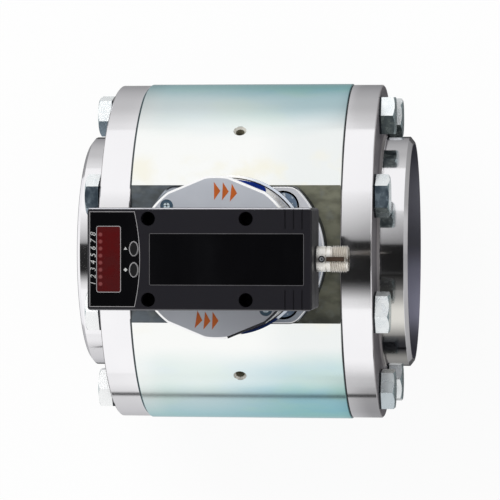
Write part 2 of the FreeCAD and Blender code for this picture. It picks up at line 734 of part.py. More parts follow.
def housing_cover():
    """Deep cover with wells, recesses for film and label, display window and finger grooves."""
    body = rounded_block(house_x0, house_x1, -house_half, house_half, cover_z, top_z, HOUSING_CORNER)
    body = body.makeChamfer(HOUSING_EDGE, top_edges(body))
    inside = block(house_x0 + HOUSING_WALL, house_x1 - HOUSING_WALL, HOUSING_WALL - house_half,
                   house_half - HOUSING_WALL, cover_z, ceiling_z)
    body = body.cut(inside)
    boss = WELL_RADIUS + WELL_WALL
    parts = [body] + [rod_z(boss, cover_z, ceiling_z, x, y) for x, y in well_places()]
    parts += [rod_z(POST_RADIUS, board_top, ceiling_z, x, y) for x, y in board_post_places()]
    tools = [film_shape(top_z - FILM_THICKNESS, top_z, FIT_GAP), window_block(0, ceiling_z, top_z)]
    tools.append(label_block(0, top_z - LABEL_RECESS, top_z))
    for x, y in well_places():
        tools.append(rod_z(WELL_RADIUS, well_seat_z, top_z, x, y))
        tools.append(rod_z(HOUSING_SCREW_SIZE / 2 + FIT_GAP, cover_z, well_seat_z, x, y))
    for x, y in button_places():
        tools.append(button_oval(SLIDE_GAP, ceiling_z, top_z, x, y))
    tail = CONNECTOR_TAIL_SIZE / 2 + FIT_GAP
    tools.append(rod_x(tail, house_x1 - HOUSING_WALL, house_x1, 0, connector_z))
    return cut(fuse(parts), tools + finger_grooves())


def finger_grooves():
    """Fine grooves across both long margins, by the connector end."""
    tools = []
    for k in range(GROOVE_COUNT):
        x0 = house_x1 - GROOVE_INSET - k * GROOVE_PITCH - GROOVE_WIDTH / 2
        for side in (-1, 1):
            y0, y1 = sorted((side * house_half, side * (house_half - GROOVE_LENGTH)))
            tools.append(block(x0, x0 + GROOVE_WIDTH, y0, y1, top_z - GROOVE_DEPTH, top_z))
    return tools


def board_post_places():
    """Posts under the cover that hold the display board by its outer corners."""
    x0 = house_x0 + HOUSING_WALL + BOARD_MARGIN + POST_RADIUS
    x1 = display_board_end() - POST_RADIUS
    reach = house_half - HOUSING_WALL - BOARD_MARGIN - POST_RADIUS
    return [(x, sy * reach) for x in (x0, x1) for sy in (-1, 1)]


def display_board_end():
    """Station where the display board ends, short of the first wells."""
    return house_x0 + WELL_INSET - WELL_RADIUS - WELL_WALL - BOARD_MARGIN


def housing_screws():
    """Cheese head screws at the bottom of the wells, into the arrow plate."""
    shank = rod_z(HOUSING_SCREW_SIZE / 2, plate_top - HOUSING_SCREW_GRIP, well_seat_z)
    head_top = well_seat_z + HOUSING_SCREW_HEAD_HEIGHT
    head = rod_z(HOUSING_SCREW_HEAD / 2, well_seat_z, head_top)
    slot = HOUSING_SCREW_SLOT / 2
    groove = block(-HOUSING_SCREW_HEAD / 2, HOUSING_SCREW_HEAD / 2, -slot, slot,
                   head_top - HOUSING_SCREW_SLOT_DEPTH, head_top)
    return placed(fuse([shank, head]).cut(groove), well_places())


def front_film():
    """Thin front film with openings for the window and the buttons."""
    film = film_shape(top_z - FILM_THICKNESS, top_z, 0)
    tools = [window_block(0, top_z - FILM_THICKNESS, top_z)]
    tools += [button_oval(SLIDE_GAP, top_z - FILM_THICKNESS, top_z, x, y) for x, y in button_places()]
    return cut(film, tools)


def display_window():
    """Clear window that fills its opening, with a rim under the cover."""
    plug = window_block(-FIT_GAP, ceiling_z, top_z)
    rim = window_block(WINDOW_RIM, ceiling_z - WINDOW_RIM_HEIGHT, ceiling_z)
    return fuse([plug, rim])


def indicator_leds():
    """Row of small lamps along the window's outer edge, on the display board."""
    x = house_x0 + WINDOW_INSET + LED_INSET
    lamps = []
    for k in range(LED_COUNT):
        y = (k - (LED_COUNT - 1) / 2) * LED_PITCH
        half = LED_SIZE / 2
        lamps.append(block(x - half, x + half, y - half, y + half, board_top, digit_top))
    return Part.makeCompound(lamps)


def digit_display():
    """Four-digit display block on the display board."""
    x1 = house_x0 + WINDOW_INSET + WINDOW_LENGTH
    return block(x1 - DIGIT_LENGTH, x1, -DIGIT_WIDTH / 2, DIGIT_WIDTH / 2, board_top, digit_top)


def display_board():
    """Circuit board under the display, with a tongue between the wells for the switches."""
    x0 = house_x0 + HOUSING_WALL + BOARD_MARGIN
    x1 = display_board_end()
    half = house_half - HOUSING_WALL - BOARD_MARGIN
    board = block(x0, x1, -half, half, board_z, board_top)
    tongue = block(x1, x1 + BOARD_TONGUE, -main_board_half(), main_board_half(), board_z, board_top)
    return fuse([board, tongue])


def board_header():
    """Pin header from the main board up to the display board."""
    x = house_x0 + MAIN_BOARD_INSET + HEADER_INSET
    half = HEADER_WIDTH / 2
    return block(x, x + HEADER_LENGTH, -half, half, main_board_z + BOARD_THICKNESS, board_z)


def main_board():
    """Circuit board on the posts of the tray."""
    x0 = house_x0 + MAIN_BOARD_INSET
    half = main_board_half()
    return block(x0, x0 + MAIN_BOARD_LENGTH, -half, half, main_board_z, main_board_z + BOARD_THICKNESS)


def main_board_parts():
    """Row of chips and two capacitors on the main board."""
    z = main_board_z + BOARD_THICKNESS
    x = house_x0 + MAIN_BOARD_INSET + HEADER_INSET + HEADER_LENGTH + CHIP_PITCH
    shapes = []
    for k in range(CHIP_COUNT):
        start = x + k * CHIP_PITCH
        shapes.append(block(start, start + CHIP_SIZE, -CHIP_SIZE / 2, CHIP_SIZE / 2, z, z + CHIP_HEIGHT))
    end = x + CHIP_COUNT * CHIP_PITCH + CAPACITOR_RADIUS
    reach = CAPACITOR_RADIUS + BOARD_MARGIN
    shapes += [rod_z(CAPACITOR_RADIUS, z, z + CAPACITOR_HEIGHT, end, y) for y in (-reach, reach)]
    return Part.makeCompound(shapes)


def button_oval(grow, z0, z1, x, y):
    """Oval of the push buttons, grown all round."""
    return oval_prism(BUTTON_LENGTH + 2 * grow, BUTTON_WIDTH + 2 * grow, z0, z1, x, y)


def push_button(x, y):
    """Oval key with a lip under the cover and a stem over its switch."""
    lip_top = ceiling_z - SWITCH_GAP
    lip_bottom = lip_top - BUTTON_LIP_HEIGHT
    key = button_oval(0, lip_top, top_z + BUTTON_PROUD, x, y)
    key = key.makeChamfer(BUTTON_PROUD / 2, top_edges(key))
    lip = button_oval(BUTTON_LIP, lip_bottom, lip_top, x, y)
    stem = rod_z(BUTTON_STEM, lip_bottom - BUTTON_STEM_LENGTH, lip_bottom, x, y)
    return fuse([key, lip, stem])


def button_switches():
    """Switches on the display board, a stroke below the stems."""
    half = SWITCH_SIZE / 2
    stem_end = ceiling_z - SWITCH_GAP - BUTTON_LIP_HEIGHT - BUTTON_STEM_LENGTH
    plunger_top = stem_end - BUTTON_TRAVEL - SWITCH_GAP
    shapes = []
    for x, y in button_places():
        case = block(x - half, x + half, y - half, y + half, board_top, board_top + SWITCH_HEIGHT)
        shapes.append(fuse([case, rod_z(BUTTON_STEM, board_top, plunger_top, x, y)]))
    return Part.makeCompound(shapes)


def label_plate():
    """Plain plate in the recess of the cover."""
    z0 = top_z - LABEL_RECESS
    return label_block(FIT_GAP, z0, z0 + LABEL_THICKNESS)


def connector_shell():
    """Turned shell: tail through the wall, two-band collar, and thread with its keyway."""
    foot_x = house_x1 + GASKET_THICKNESS
    thread_x = foot_x + CONNECTOR_COLLAR_LENGTH
    groove_x = connector_groove()
    end_x = connector_end()
    thread = CONNECTOR_THREAD / 2
    collar = CONNECTOR_COLLAR / 2
    tail = CONNECTOR_TAIL_SIZE / 2
    tail_x = house_x1 - HOUSING_WALL - CONNECTOR_TAIL
    bore = CONNECTOR_BORE / 2
    shell = turned_x([(tail_x, bore), (tail_x, tail), (foot_x, tail), (foot_x, collar),
                      (groove_x - CONNECTOR_GROOVE, collar), (groove_x, collar - CONNECTOR_GROOVE),
                      (groove_x + CONNECTOR_GROOVE, collar), (thread_x, collar), (thread_x, thread),
                      (end_x - CONNECTOR_CHAMFER, thread), (end_x, thread - CONNECTOR_CHAMFER),
                      (end_x, bore)], connector_z)
    half = KEYWAY_WIDTH / 2
    keyway = block(groove_x + CONNECTOR_GROOVE, end_x - KEYWAY_END, -half, half,
                   connector_z + thread - KEYWAY_DEPTH, connector_z + thread)
    top = connector_z + collar
    screw_hole = rod_z(SET_SCREW_RADIUS + FIT_GAP, top - SET_SCREW_DEPTH, top, set_screw_x())
    return cut(shell, [keyway, screw_hole])


def connector_groove():
    """Station of the fine groove between the two bands of the collar."""
    return house_x1 + GASKET_THICKNESS + CONNECTOR_COLLAR_LENGTH - CONNECTOR_BAND


def set_screw_x():
    """Station of the small screw on the connector's first band."""
    return connector_groove() - SET_SCREW_INSET


def connector_set_screw():
    """Small socket screw sunk in the collar."""
    seat = connector_z + CONNECTOR_COLLAR / 2 - SET_SCREW_DEPTH
    screw = rod_z(SET_SCREW_RADIUS, seat, seat + SET_SCREW_LENGTH)
    hexagon = polygon_prism(6, SET_SCREW_SOCKET, SET_SCREW_LENGTH / 2)
    hexagon.translate(V(0, 0, seat + SET_SCREW_LENGTH / 2))
    return placed(screw.cut(hexagon), [(set_screw_x(), 0.0)])


def connector_end():
    """Station of the open end of the connector."""
    return house_x1 + GASKET_THICKNESS + CONNECTOR_COLLAR_LENGTH + CONNECTOR_THREAD_LENGTH


def connector_insert():
    """Contact carrier in the shell, with the pin holes."""
    tail_x = house_x1 - HOUSING_WALL - CONNECTOR_TAIL
    face_x = connector_end() - CONNECTOR_CUP
    insert = rod_x(CONNECTOR_BORE / 2, tail_x, face_x, 0, connector_z)
    return insert.cut(pin_rods(tail_x, face_x))


def pin_rods(x0, x1):
    """The contact pins between two stations."""
    places = around_pipe(PIN_COUNT, PIN_CIRCLE)
    return Part.makeCompound([rod_x(PIN_RADIUS, x0, x1, y, connector_z + z) for y, z in places])


def connector_pins():
    """Contact pins from the cup of the connector back into the housing."""
    tail_x = house_x1 - HOUSING_WALL - CONNECTOR_TAIL - PIN_TAIL
    return pin_rods(tail_x, connector_end() - PIN_SHY)


def connector_nut():
    """Hex nut that clamps the shell from inside the wall."""
    nut = polygon_prism(6, NUT_ACROSS_FLATS / 2, NUT_THICKNESS)
    nut = nut.cut(rod_z(CONNECTOR_TAIL_SIZE / 2 + THREAD_GAP, 0, NUT_THICKNESS))
    nut.rotate(V(0, 0, 0), V(0, 1, 0), 90)
    nut.translate(V(house_x1 - HOUSING_WALL - NUT_THICKNESS, 0, connector_z))
    return nut


def connector_gasket():
    """Flat seal between the collar and the wall."""
    inner = CONNECTOR_TAIL_SIZE / 2 + FIT_GAP
    return ring_x(inner, CONNECTOR_COLLAR / 2, house_x1, house_x1 + GASKET_THICKNESS, connector_z)


def build():
    """All nodes by name."""
    seal = flange_seal()
    flange = weld_flange()
    near, far = button_places()
    return {
        "measuring_body": measuring_body(),
        "inlet_flange": flange,
        "outlet_flange": mirrored(flange),
        "inlet_seal_ring": seal,
        "outlet_seal_ring": mirrored(seal),
        "inlet_flange_bolts": flange_bolts(INLET_HEX_TURNS),
        "outlet_flange_bolts": mirrored(flange_bolts(OUTLET_HEX_TURNS)),
        "sensor_base_plate": sensor_base_plate(),
        "base_plate_screws": base_plate_screws(),
        "base_plate_seal": base_plate_seal(),
        "sensor_neck": sensor_neck(),
        "neck_screws": neck_screws(),
        "neck_seal": neck_seal(),
        "arrow_plate": arrow_plate(),
        "arrow_plate_screws": arrow_plate_screws(),
        "probe_tube": probe_tube(),
        "heated_tip": probe_tip(-1),
        "reference_tip": probe_tip(1),
        "probe_seal": probe_seal(),
        "sensor_board": sensor_board(),
        "sensor_board_pillars": sensor_board_pillars(),
        "housing_base": housing_base(),
        "housing_gasket": housing_gasket(),
        "housing_cover": housing_cover(),
        "housing_screws": housing_screws(),
        "front_film": front_film(),
        "display_window": display_window(),
        "indicator_leds": indicator_leds(),
        "digit_display": digit_display(),
        "display_board": display_board(),
        "board_header": board_header(),
        "main_board": main_board(),
        "main_board_parts": main_board_parts(),
        "mode_button": push_button(*near),
        "set_button": push_button(*far),
        "button_switches": button_switches(),
        "label_plate": label_plate(),
        "connector_shell": connector_shell(),
        "connector_insert": connector_insert(),
        "connector_pins": connector_pins(),
        "connector_nut": connector_nut(),
        "connector_gasket": connector_gasket(),
        "connector_set_screw": connector_set_screw(),
    }


os.makedirs("parts", exist_ok=True)
for name, shape in build().items():
    shape.exportStep("parts/" + name + ".step")
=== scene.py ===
import functools
import math

import bmesh
import bpy
from bpy.props import FloatProperty, FloatVectorProperty, IntProperty, PointerProperty
from mathutils import Matrix, Vector


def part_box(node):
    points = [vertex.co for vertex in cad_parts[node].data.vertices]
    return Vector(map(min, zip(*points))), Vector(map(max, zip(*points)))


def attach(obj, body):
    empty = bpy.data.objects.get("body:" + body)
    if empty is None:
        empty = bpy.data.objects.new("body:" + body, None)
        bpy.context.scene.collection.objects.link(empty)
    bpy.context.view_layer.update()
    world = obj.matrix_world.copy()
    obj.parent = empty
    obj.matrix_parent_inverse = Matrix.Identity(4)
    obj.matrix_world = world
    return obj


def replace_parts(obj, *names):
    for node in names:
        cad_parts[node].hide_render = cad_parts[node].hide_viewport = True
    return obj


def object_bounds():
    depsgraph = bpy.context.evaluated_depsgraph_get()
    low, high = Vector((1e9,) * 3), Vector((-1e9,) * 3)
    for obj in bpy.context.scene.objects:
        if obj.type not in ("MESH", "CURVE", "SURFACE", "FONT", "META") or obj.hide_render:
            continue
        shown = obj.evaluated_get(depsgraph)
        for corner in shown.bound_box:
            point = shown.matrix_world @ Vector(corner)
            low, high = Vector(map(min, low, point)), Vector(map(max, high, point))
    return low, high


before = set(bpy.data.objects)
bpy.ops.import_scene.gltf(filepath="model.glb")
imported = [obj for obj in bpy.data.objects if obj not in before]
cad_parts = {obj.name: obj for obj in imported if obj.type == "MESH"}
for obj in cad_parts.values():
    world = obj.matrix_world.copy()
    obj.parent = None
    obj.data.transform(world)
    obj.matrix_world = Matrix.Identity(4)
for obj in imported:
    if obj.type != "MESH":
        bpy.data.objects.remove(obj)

bl_info = {
    "name": "Air flow meter looks",
    "version": (1, 0, 0),
    "blender": (4, 5, 0),
    "location": "View3D > Sidebar > Flow meter",
    "description": "Finishes, fine trim and studio of a compressed air flow meter on weld flanges",
    "category": "Object",
}

MM = 0.001
CAD_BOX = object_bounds()
METER = "meter"
LAMP_COUNT = 8

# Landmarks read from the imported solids
BODY_LOW, BODY_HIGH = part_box("measuring_body")
PLATE_LOW, PLATE_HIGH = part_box("arrow_plate")
BASE_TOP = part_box("sensor_base_plate")[1].z
COVER_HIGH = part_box("housing_cover")[1]
FILM_LOW, FILM_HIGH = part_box("front_film")
PANE_LOW, PANE_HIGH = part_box("display_window")
SUNK_LOW, SUNK_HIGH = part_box("arrow_plate_screws")
BOLTS_LOW, BOLTS_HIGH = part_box("inlet_flange_bolts")[0].x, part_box("outlet_flange_bolts")[1].x
LAMPS_LOW, LAMPS_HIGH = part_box("indicator_leds")
LABEL_LOW, LABEL_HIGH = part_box("label_plate")
SHELL_LOW, SHELL_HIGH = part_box("connector_shell")
GASKET_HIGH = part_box("connector_gasket")[1]
INSERT_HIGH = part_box("connector_insert")[1]
SCREW_LOW, SCREW_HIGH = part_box("connector_set_screw")
BODY_RADIUS = BODY_HIGH.y
HEAD_X = (PLATE_LOW.x + PLATE_HIGH.x) / 2
PLUG_Z = (SHELL_LOW.z + SHELL_HIGH.z) / 2
PLUG_RADIUS = SHELL_HIGH.z - PLUG_Z
SCREW_X = (SCREW_LOW.x + SCREW_HIGH.x) / 2
SCREW_RADIUS = SCREW_HIGH.y
LAMP_ROW = (LAMPS_LOW.x + LAMPS_HIGH.x) / 2
LAMP_PITCH = (LAMPS_HIGH.y - LAMPS_LOW.y - LAMPS_HIGH.x + LAMPS_LOW.x) / (LAMP_COUNT - 1)

# Rims of the window and of the buttons, which lie hidden under the film
PANE_RIM = Vector((1.0 * MM, 1.0 * MM, 0.0))
BUTTON_RIM = 0.8 * MM
PANE_LOW, PANE_HIGH = PANE_LOW + PANE_RIM, PANE_HIGH - PANE_RIM

# Heads of the countersunk screws and of the flange bolts
SUNK_RADIUS = 2.85 * MM
SUNK_X = (SUNK_HIGH.x - SUNK_LOW.x) / 2 - SUNK_RADIUS
SUNK_Y = (SUNK_HIGH.y - SUNK_LOW.y) / 2 - SUNK_RADIUS
BOLT_HEAD = 7.5 * MM
BOLT_FOOT = 0.9 * MM

# Zones of the finishes, from where to where: radii, heights and stretches along the pipe
BODY_BORE = (54.2 * MM, 54.5 * MM)
FLANGE_BORE = (53.7 * MM, 54.0 * MM)
FLANGE_FACE = (57.17 * MM, 82.7 * MM)
FLANGE_RIM = (82.8 * MM, 83.0 * MM)
STUB_WALL = (56.5 * MM, 57.2 * MM)
OUTLET_STUB = (140.5 * MM, 159.0 * MM)
OUTLET_HALF = (70.0 * MM, 90.0 * MM)
WELD_END = (0.2 * MM, 0.4 * MM)
MILLED_FLAT = (77.0 * MM, 77.1 * MM)
COLLAR_TOP = (98.7 * MM, 98.9 * MM)
COLUMN_FLATS = (35.91 * MM, 35.98 * MM)
COLUMN_FOOT = (36.3 * MM, 36.5 * MM)
HOLE_FLOOR = 60.0 * MM

# Direction of the painted blue reflection on the neck's collar
GLINT_X, GLINT_Y = 0.383, 0.924

# Where cloudy noise passes from one shade to the next, and where it leaves patches
CLOUD = (0.3, 0.7)
PATCH = (0.35, 0.75)
SPOT = (0.35, 0.7)

# Steps round the turned pieces, the thread, the button rings, the film's bow and small corners
TURN_STEPS, THREAD_STEPS, RING_STEPS, BOW_STEPS, CORNER_STEPS = 96, 48, 56, 24, 5

# Thread ridge in shares of its pitch and depth, broken edges, figures in shares of the font's size
RIDGE_FOOT, RIDGE_CREST, RIDGE_SINK = 0.45, 0.07, 1.1
EDGE_BREAK = 0.25 * MM
FIGURE_HEIGHT = 0.72
WELD = 1e-7

# Stage: the camera's sensor and far limit, the floor's shade, and how the floor cards lean and fan out
SENSOR_WIDTH = 36.0
FAR = 20.0
FLOOR_SHADE = (0.9, 0.9, 0.9)
CARD_LEAN, CARD_SPREAD = 0.177, 0.704
CARD_LAYER = 0.2 * MM
CARD_DARK = (0.05, 0.05, 0.05)


def tone(red, green, blue):
    """Linear colour of a tone that is written in screen values from 0 to 255."""
    shares = [c / 255 for c in (red, green, blue)]
    return tuple(c / 12.92 if c < 0.0405 else ((c + 0.055) / 1.055) ** 2.4 for c in shares)


def dimmed(shade, share):
    """Darker tone of a shade."""
    return [share * c for c in shade]


def colour(name, description, *screen):
    """Colour property whose default is written in screen values."""
    return FloatVectorProperty(name=name, description=description, subtype="COLOR", size=3, min=0, max=1,
                               default=tone(*screen))


def length(name, description, millimetres):
    """Length property whose default is written in millimetres."""
    return FloatProperty(name=name, description=description, unit="LENGTH", precision=5,
                         default=millimetres * MM)


def angle(name, description, degrees):
    """Angle property whose default is written in degrees."""
    return FloatProperty(name=name, description=description, subtype="ANGLE", default=math.radians(degrees))


def number(name, description, figure, subtype="NONE"):
    """Plain number, share or power."""
    return FloatProperty(name=name, description=description, subtype=subtype, default=figure)


class MeterFinish(bpy.types.PropertyGroup):
    """Colours of the meter's finishes."""

    plate_pale: colour("Plate, pale", "Zinc plate along the crown of the body", 249, 250, 248)
    # Teal and sea green: painted reflection towards the body's outline
    plate_teal: colour("Plate, teal", "Blue patches of the zinc plate near the outline", 166, 207, 217)
    plate_sea: colour("Plate, sea green", "Green patches of the zinc plate near the outline", 176, 214, 208)
    plate_cream: colour("Plate, cream", "Warm patches in the zinc plate", 246, 243, 226)
    # Flat colours: painted reflection of the dark surroundings in the milled flat
    flat_blue_reflection: colour("Flat, blue", "Milled flat at the inlet end", 106, 113, 120)
    flat_olive_reflection: colour("Flat, olive", "Milled flat at the outlet end", 138, 138, 120)
    seam: colour("Seam", "Broken edges at the ends of the body", 80, 84, 84)
    steel: colour("Turned steel", "Flanges and weld stubs", 247, 246, 248)
    # Bore: painted shade inside the pipe
    bore: colour("Bore", "Inside of the pipe", 124, 124, 133)
    zinc: colour("Bolt zinc", "Hexagon bolts", 248, 252, 253)
    base: colour("Base plate", "Plate under the neck", 176, 183, 193)
    screw: colour("Screw zinc", "Socket and slotted screws", 128, 148, 172)
    screw_slate: colour("Screw slate", "Countersunk screws", 72, 96, 114)
    neck: colour("Neck steel", "Collar and lands of the neck", 222, 216, 210)
    neck_flat: colour("Neck flats", "Blue flats of the neck", 20, 44, 122)
    plate_gray: colour("Arrow plate", "Matt top of the arrow plate", 208, 212, 220)
    arrow: colour("Flow arrows", "Orange triangles on the arrow plate", 212, 104, 28)
    housing: colour("Housing", "Moulded housing", 26, 25, 31)
    # Housing edge: painted highlight along the top edges
    housing_edge_highlight: colour("Housing edge", "Bright edges of the housing", 196, 196, 202)
    film: colour("Film", "Gloss film of the front panel", 8, 8, 10)
    line: colour("Panel lines", "Printed outlines of the panel", 160, 158, 160)
    label_line: colour("Label line", "Printed outline of the label", 92, 91, 94)
    print_white: colour("Print", "Numbers and marks on the film", 186, 187, 186)
    window: colour("Window", "Red display window", 80, 10, 12)
    lamp: colour("Lamps", "Lamps behind the window", 128, 66, 66)
    ivory: colour("Connector collar", "Plated collar of the plug connector", 250, 248, 243)
    thread: colour("Connector thread", "Plated thread of the plug connector", 244, 239, 231)
    rubber: colour("Rubber", "Seals and gaskets", 34, 34, 35)
    board: colour("Boards", "Coated circuit boards", 26, 84, 52)
    gold: colour("Contacts", "Gold flashed contacts", 224, 186, 104)


class MeterTrim(bpy.types.PropertyGroup):
    """Sizes of the fine trim that the solids leave out."""

    arrow_inner: length("Arrow inner radius", "Arrow base nearest the middle of the plate", 26.05)
    arrow_outer: length("Arrow outer radius", "Arrow base nearest the rim of the plate", 34.25)
    arrow_step: angle("Arrow step", "Turn from one arrow to the next", 7.3)
    arrow_reach: angle("Arrow reach", "Turn from an arrow's base to its tip", 5.5)
    arrow_inset: length("Lower arrow inset", "How much nearer the middle the first lower arrow lies", 0.75)
    arrow_creep: length("Lower arrow creep", "How much nearer the middle each next lower arrow lies", 0.42)
    arrow_start_up: angle("Upper arrows", "First upper arrow, from +Y towards the outlet", -1.8)
    arrow_start_low: angle("Lower arrows", "First lower arrow, from -Y towards the inlet", 18.1)
    arrow_lean: number("Arrow lean", "Share of its turn that an arrow leans over", 0.5, "FACTOR")
    arrow_count: IntProperty(name="Arrow count", description="Arrows in each row", default=3)
    print_rise: length("Print rise", "Thickness of printed lines and arrows", 0.04)
    line_width: length("Line width", "Width of the printed panel lines", 0.28)
    film_bulge: length("Film bulge", "How far the film bows out at its middle", 2.4)
    frame_gap: length("Window frame gap", "Window edge to the outside of its frame", 0.15)
    frame_corner: length("Window frame corner", "Corner radius of the window frame", 1.0)
    ring_gap: length("Button ring gap", "Button edge to the outside of its ring", 0.25)
    ring_width: length("Button ring width", "Width of the printed ring round a button", 0.15)
    label_corner: length("Label corner", "Corner radius of the label outline", 0.6)
    number_size: length("Number size", "Height of the lamp numbers", 2.5)
    number_gap: length("Number gap", "Window edge to the foot of the numbers", 0.45)
    number_slant: number("Number slant", "Shear of the lamp numbers", 0.25)
    mark_size: length("Mark size", "Width of the plain marks beside the buttons", 1.8)
    mark_gap: length("Mark gap", "Window edge to the marks beside the buttons", 2.2)
    thread_pitch: length("Thread pitch", "Pitch of the plug thread", 1.0)
    thread_depth: length("Thread depth", "Depth of the plug thread", 0.58)
    thread_length: length("Thread length", "Length of the plug thread", 8.0)
    collar_size: length("Collar size", "Diameter of the plug connector's collar", 11.4)
    collar_band: length("Collar band", "Fine groove of the collar to the thread", 1.9)
    collar_groove: length("Collar groove", "Depth of the fine groove", 0.3)
    tail_size: length("Tail size", "Diameter of the connector inside the wall", 10.4)
    slot_width: length("Slot width", "Width of the connector's keyway", 2.0)
    slot_depth: length("Slot depth", "Depth of the keyway below the thread's crest", 0.9)
    slot_end: length("Slot end", "End of the keyway to the end of the thread", 1.6)


class MeterStage(bpy.types.PropertyGroup):
    """Camera, floor and light."""

    yaw: angle("Yaw", "Camera turned towards the outlet", 6.65)
    pitch: angle("Pitch", "Camera raised towards +Y", 1.15)
    distance: length("Distance", "Camera to the aim point", 1492.5)
    aim: FloatVectorProperty(name="Aim", description="Point in the middle of the picture", unit="LENGTH",
                             size=3, default=(0.07846, 0.00047, 0.00016))
    lens: number("Lens", "Focal length on a 36 mm sensor", 214.1)
    floor_size: length("Floor", "Side of the floor", 6000.0)
    floor_drop: length("Floor drop", "Gap between the lowest point and the floor", 0.1)
    shadow_share: number("Shadow share", "Share of the floor that keeps the shadow", 0.08, "FACTOR")
    fill: number("Fill", "Strength of the world on the object", 0.6)
    key_power: number("Key lamp", "Power of the soft lamp on the +Y side", 8.5, "POWER")
    side_power: number("Side lamp", "Power of the soft lamp on the -Y side", 1.5, "POWER")
    lamp_size: length("Lamp size", "Side of each soft lamp", 700.0)


class Nodes:
    """Node tree that is filled in node by node."""

    def __init__(self, tree):
        self.tree = tree

    def feed(self, socket, value):
        """Links a socket, or sets its value."""
        if isinstance(value, bpy.types.NodeSocket):
            self.tree.links.new(value, socket)
        elif socket.type == "RGBA":
            socket.default_value = (*value[:3], 1.0)
        else:
            socket.default_value = value

    def add(self, kind, feeds=None, **settings):
        """Adds a node with its settings, and feeds its sockets."""
        node = self.tree.nodes.new(kind)
        for key, value in settings.items():
            setattr(node, key, value)
        for key, value in (feeds or {}).items():
            self.feed(node.inputs[key], value)
        return node

    def math(self, operation, *values):
        """One sum on up to three values."""
        return self.add("ShaderNodeMath", dict(enumerate(values)), operation=operation).outputs[0]

    def chain(self, operation, first, *others):
        """One sum run through several values."""
        for other in others:
            first = self.math(operation, first, other)
        return first

    # Where all masks lie (their product), where any mask lies (the greatest), and the sum of values
    both = functools.partialmethod(chain, "MULTIPLY")
    either = functools.partialmethod(chain, "MAXIMUM")
    total = functools.partialmethod(chain, "ADD")

    def span(self, value, low, high, at_low=0.0, at_high=1.0):
        """Smooth step of a value from one figure to another."""
        feeds = {"Value": value, "From Min": low, "From Max": high, "To Min": at_low, "To Max": at_high}
        return self.add("ShaderNodeMapRange", feeds, interpolation_type="SMOOTHSTEP").outputs["Result"]

    def fade(self, value, low, high, at_low=1.0):
        """Smooth step of a value down to 0."""
        return self.span(value, low, high, at_low, 0.0)

    def pick(self, mask, outside, inside):
        """One figure outside a mask and another inside it."""
        return self.span(mask, 0.0, 1.0, outside, inside)

    def mix(self, share, first, second, blend="MIX"):
        """Blend of two colours."""
        return self.add("ShaderNodeMix", {0: share, 6: first, 7: second}, data_type="RGBA",
                        blend_type=blend).outputs[2]

    def ramp(self, value, stops):
        """Gray shades along a value, through (place, shade) stops."""
        low, high = stops[0][0], stops[-1][0]
        share = self.add("ShaderNodeMapRange", {"Value": value, "From Min": low, "From Max": high})
        node = self.add("ShaderNodeValToRGB", {0: share.outputs["Result"]})
        elements = node.color_ramp.elements
        while len(elements) < len(stops):
            elements.new(1.0)
        for element, (place, shade) in zip(elements, stops):
            element.position = (place - low) / (high - low)
            element.color = (shade, shade, shade, 1.0)
        return node.outputs[0]


class Finish(Nodes):
    """One procedural material on Object coordinates: a shade, coats over it and fine relief."""

    def __init__(self, name, shade):
        self.material = bpy.data.materials.new(name)
        self.material.use_nodes = True
        super().__init__(self.material.node_tree)
        self.shader = self.tree.nodes["Principled BSDF"]
        self.place = self.add("ShaderNodeTexCoord").outputs
        self.at = self.add("ShaderNodeSeparateXYZ", {0: self.place["Object"]}).outputs
        self.facing = self.add("ShaderNodeSeparateXYZ", {0: self.place["Normal"]}).outputs
        self.paint = shade

    def coat(self, mask, shade):
        """Lays another shade over the paint."""
        self.paint = self.mix(mask, self.paint, shade)

    def band(self, value, low, high, soft):
        """1 between two figures, fading to 0 outside them."""
        return self.both(self.span(value, low - soft, low), self.fade(value, high, high + soft))

    def noise(self, scale, stretch=(1, 1, 1), detail=3.0):
        """Cloudy noise, with its grain stretched along the axes."""
        mapped = self.add("ShaderNodeMapping", {"Vector": self.place["Object"], "Scale": stretch})
        return self.add("ShaderNodeTexNoise", {"Vector": mapped.outputs[0], "Scale": scale,
                                               "Detail": detail}).outputs["Fac"]

    def vary(self, noise, at_low=0.0, at_high=1.0):
        """Figure that goes with the shades of a cloudy noise."""
        return self.span(noise, *CLOUD, at_low, at_high)

    def lines(self, value, per_metre):
        """Fine tool lines across one direction."""
        step = self.math("MULTIPLY", value, per_metre)
        return self.add("ShaderNodeTexNoise", {"W": step, "Scale": 1.0, "Detail": 2.0},
                        noise_dimensions="1D").outputs["Fac"]

    def radius(self, first, second, centre=0.0):
        """Distance from an axis, from two coordinates."""
        offset = self.math("SUBTRACT", first, centre)
        return self.math("SQRT", self.total(self.both(offset, offset), self.both(second, second)))

    def bump(self, height, strength, depth=0.05 * MM):
        """Fine relief on the surface."""
        node = self.add("ShaderNodeBump", {"Height": height, "Strength": strength, "Distance": depth})
        self.feed(self.shader.inputs["Normal"], node.outputs[0])

    def grain(self, scale, strength, depth=0.05 * MM):
        """Fine even grain on the surface."""
        self.bump(self.noise(scale, detail=1.0), strength, depth)

    def surface(self, rough, metal=0.0, **others):
        """Feeds the shader, whose other sockets are named with underscores for spaces."""
        others.update(Base_Color=self.paint, Roughness=rough, Metallic=metal)
        for key, value in others.items():
            self.feed(self.shader.inputs[key.replace("_", " ")], value)
        return self.material


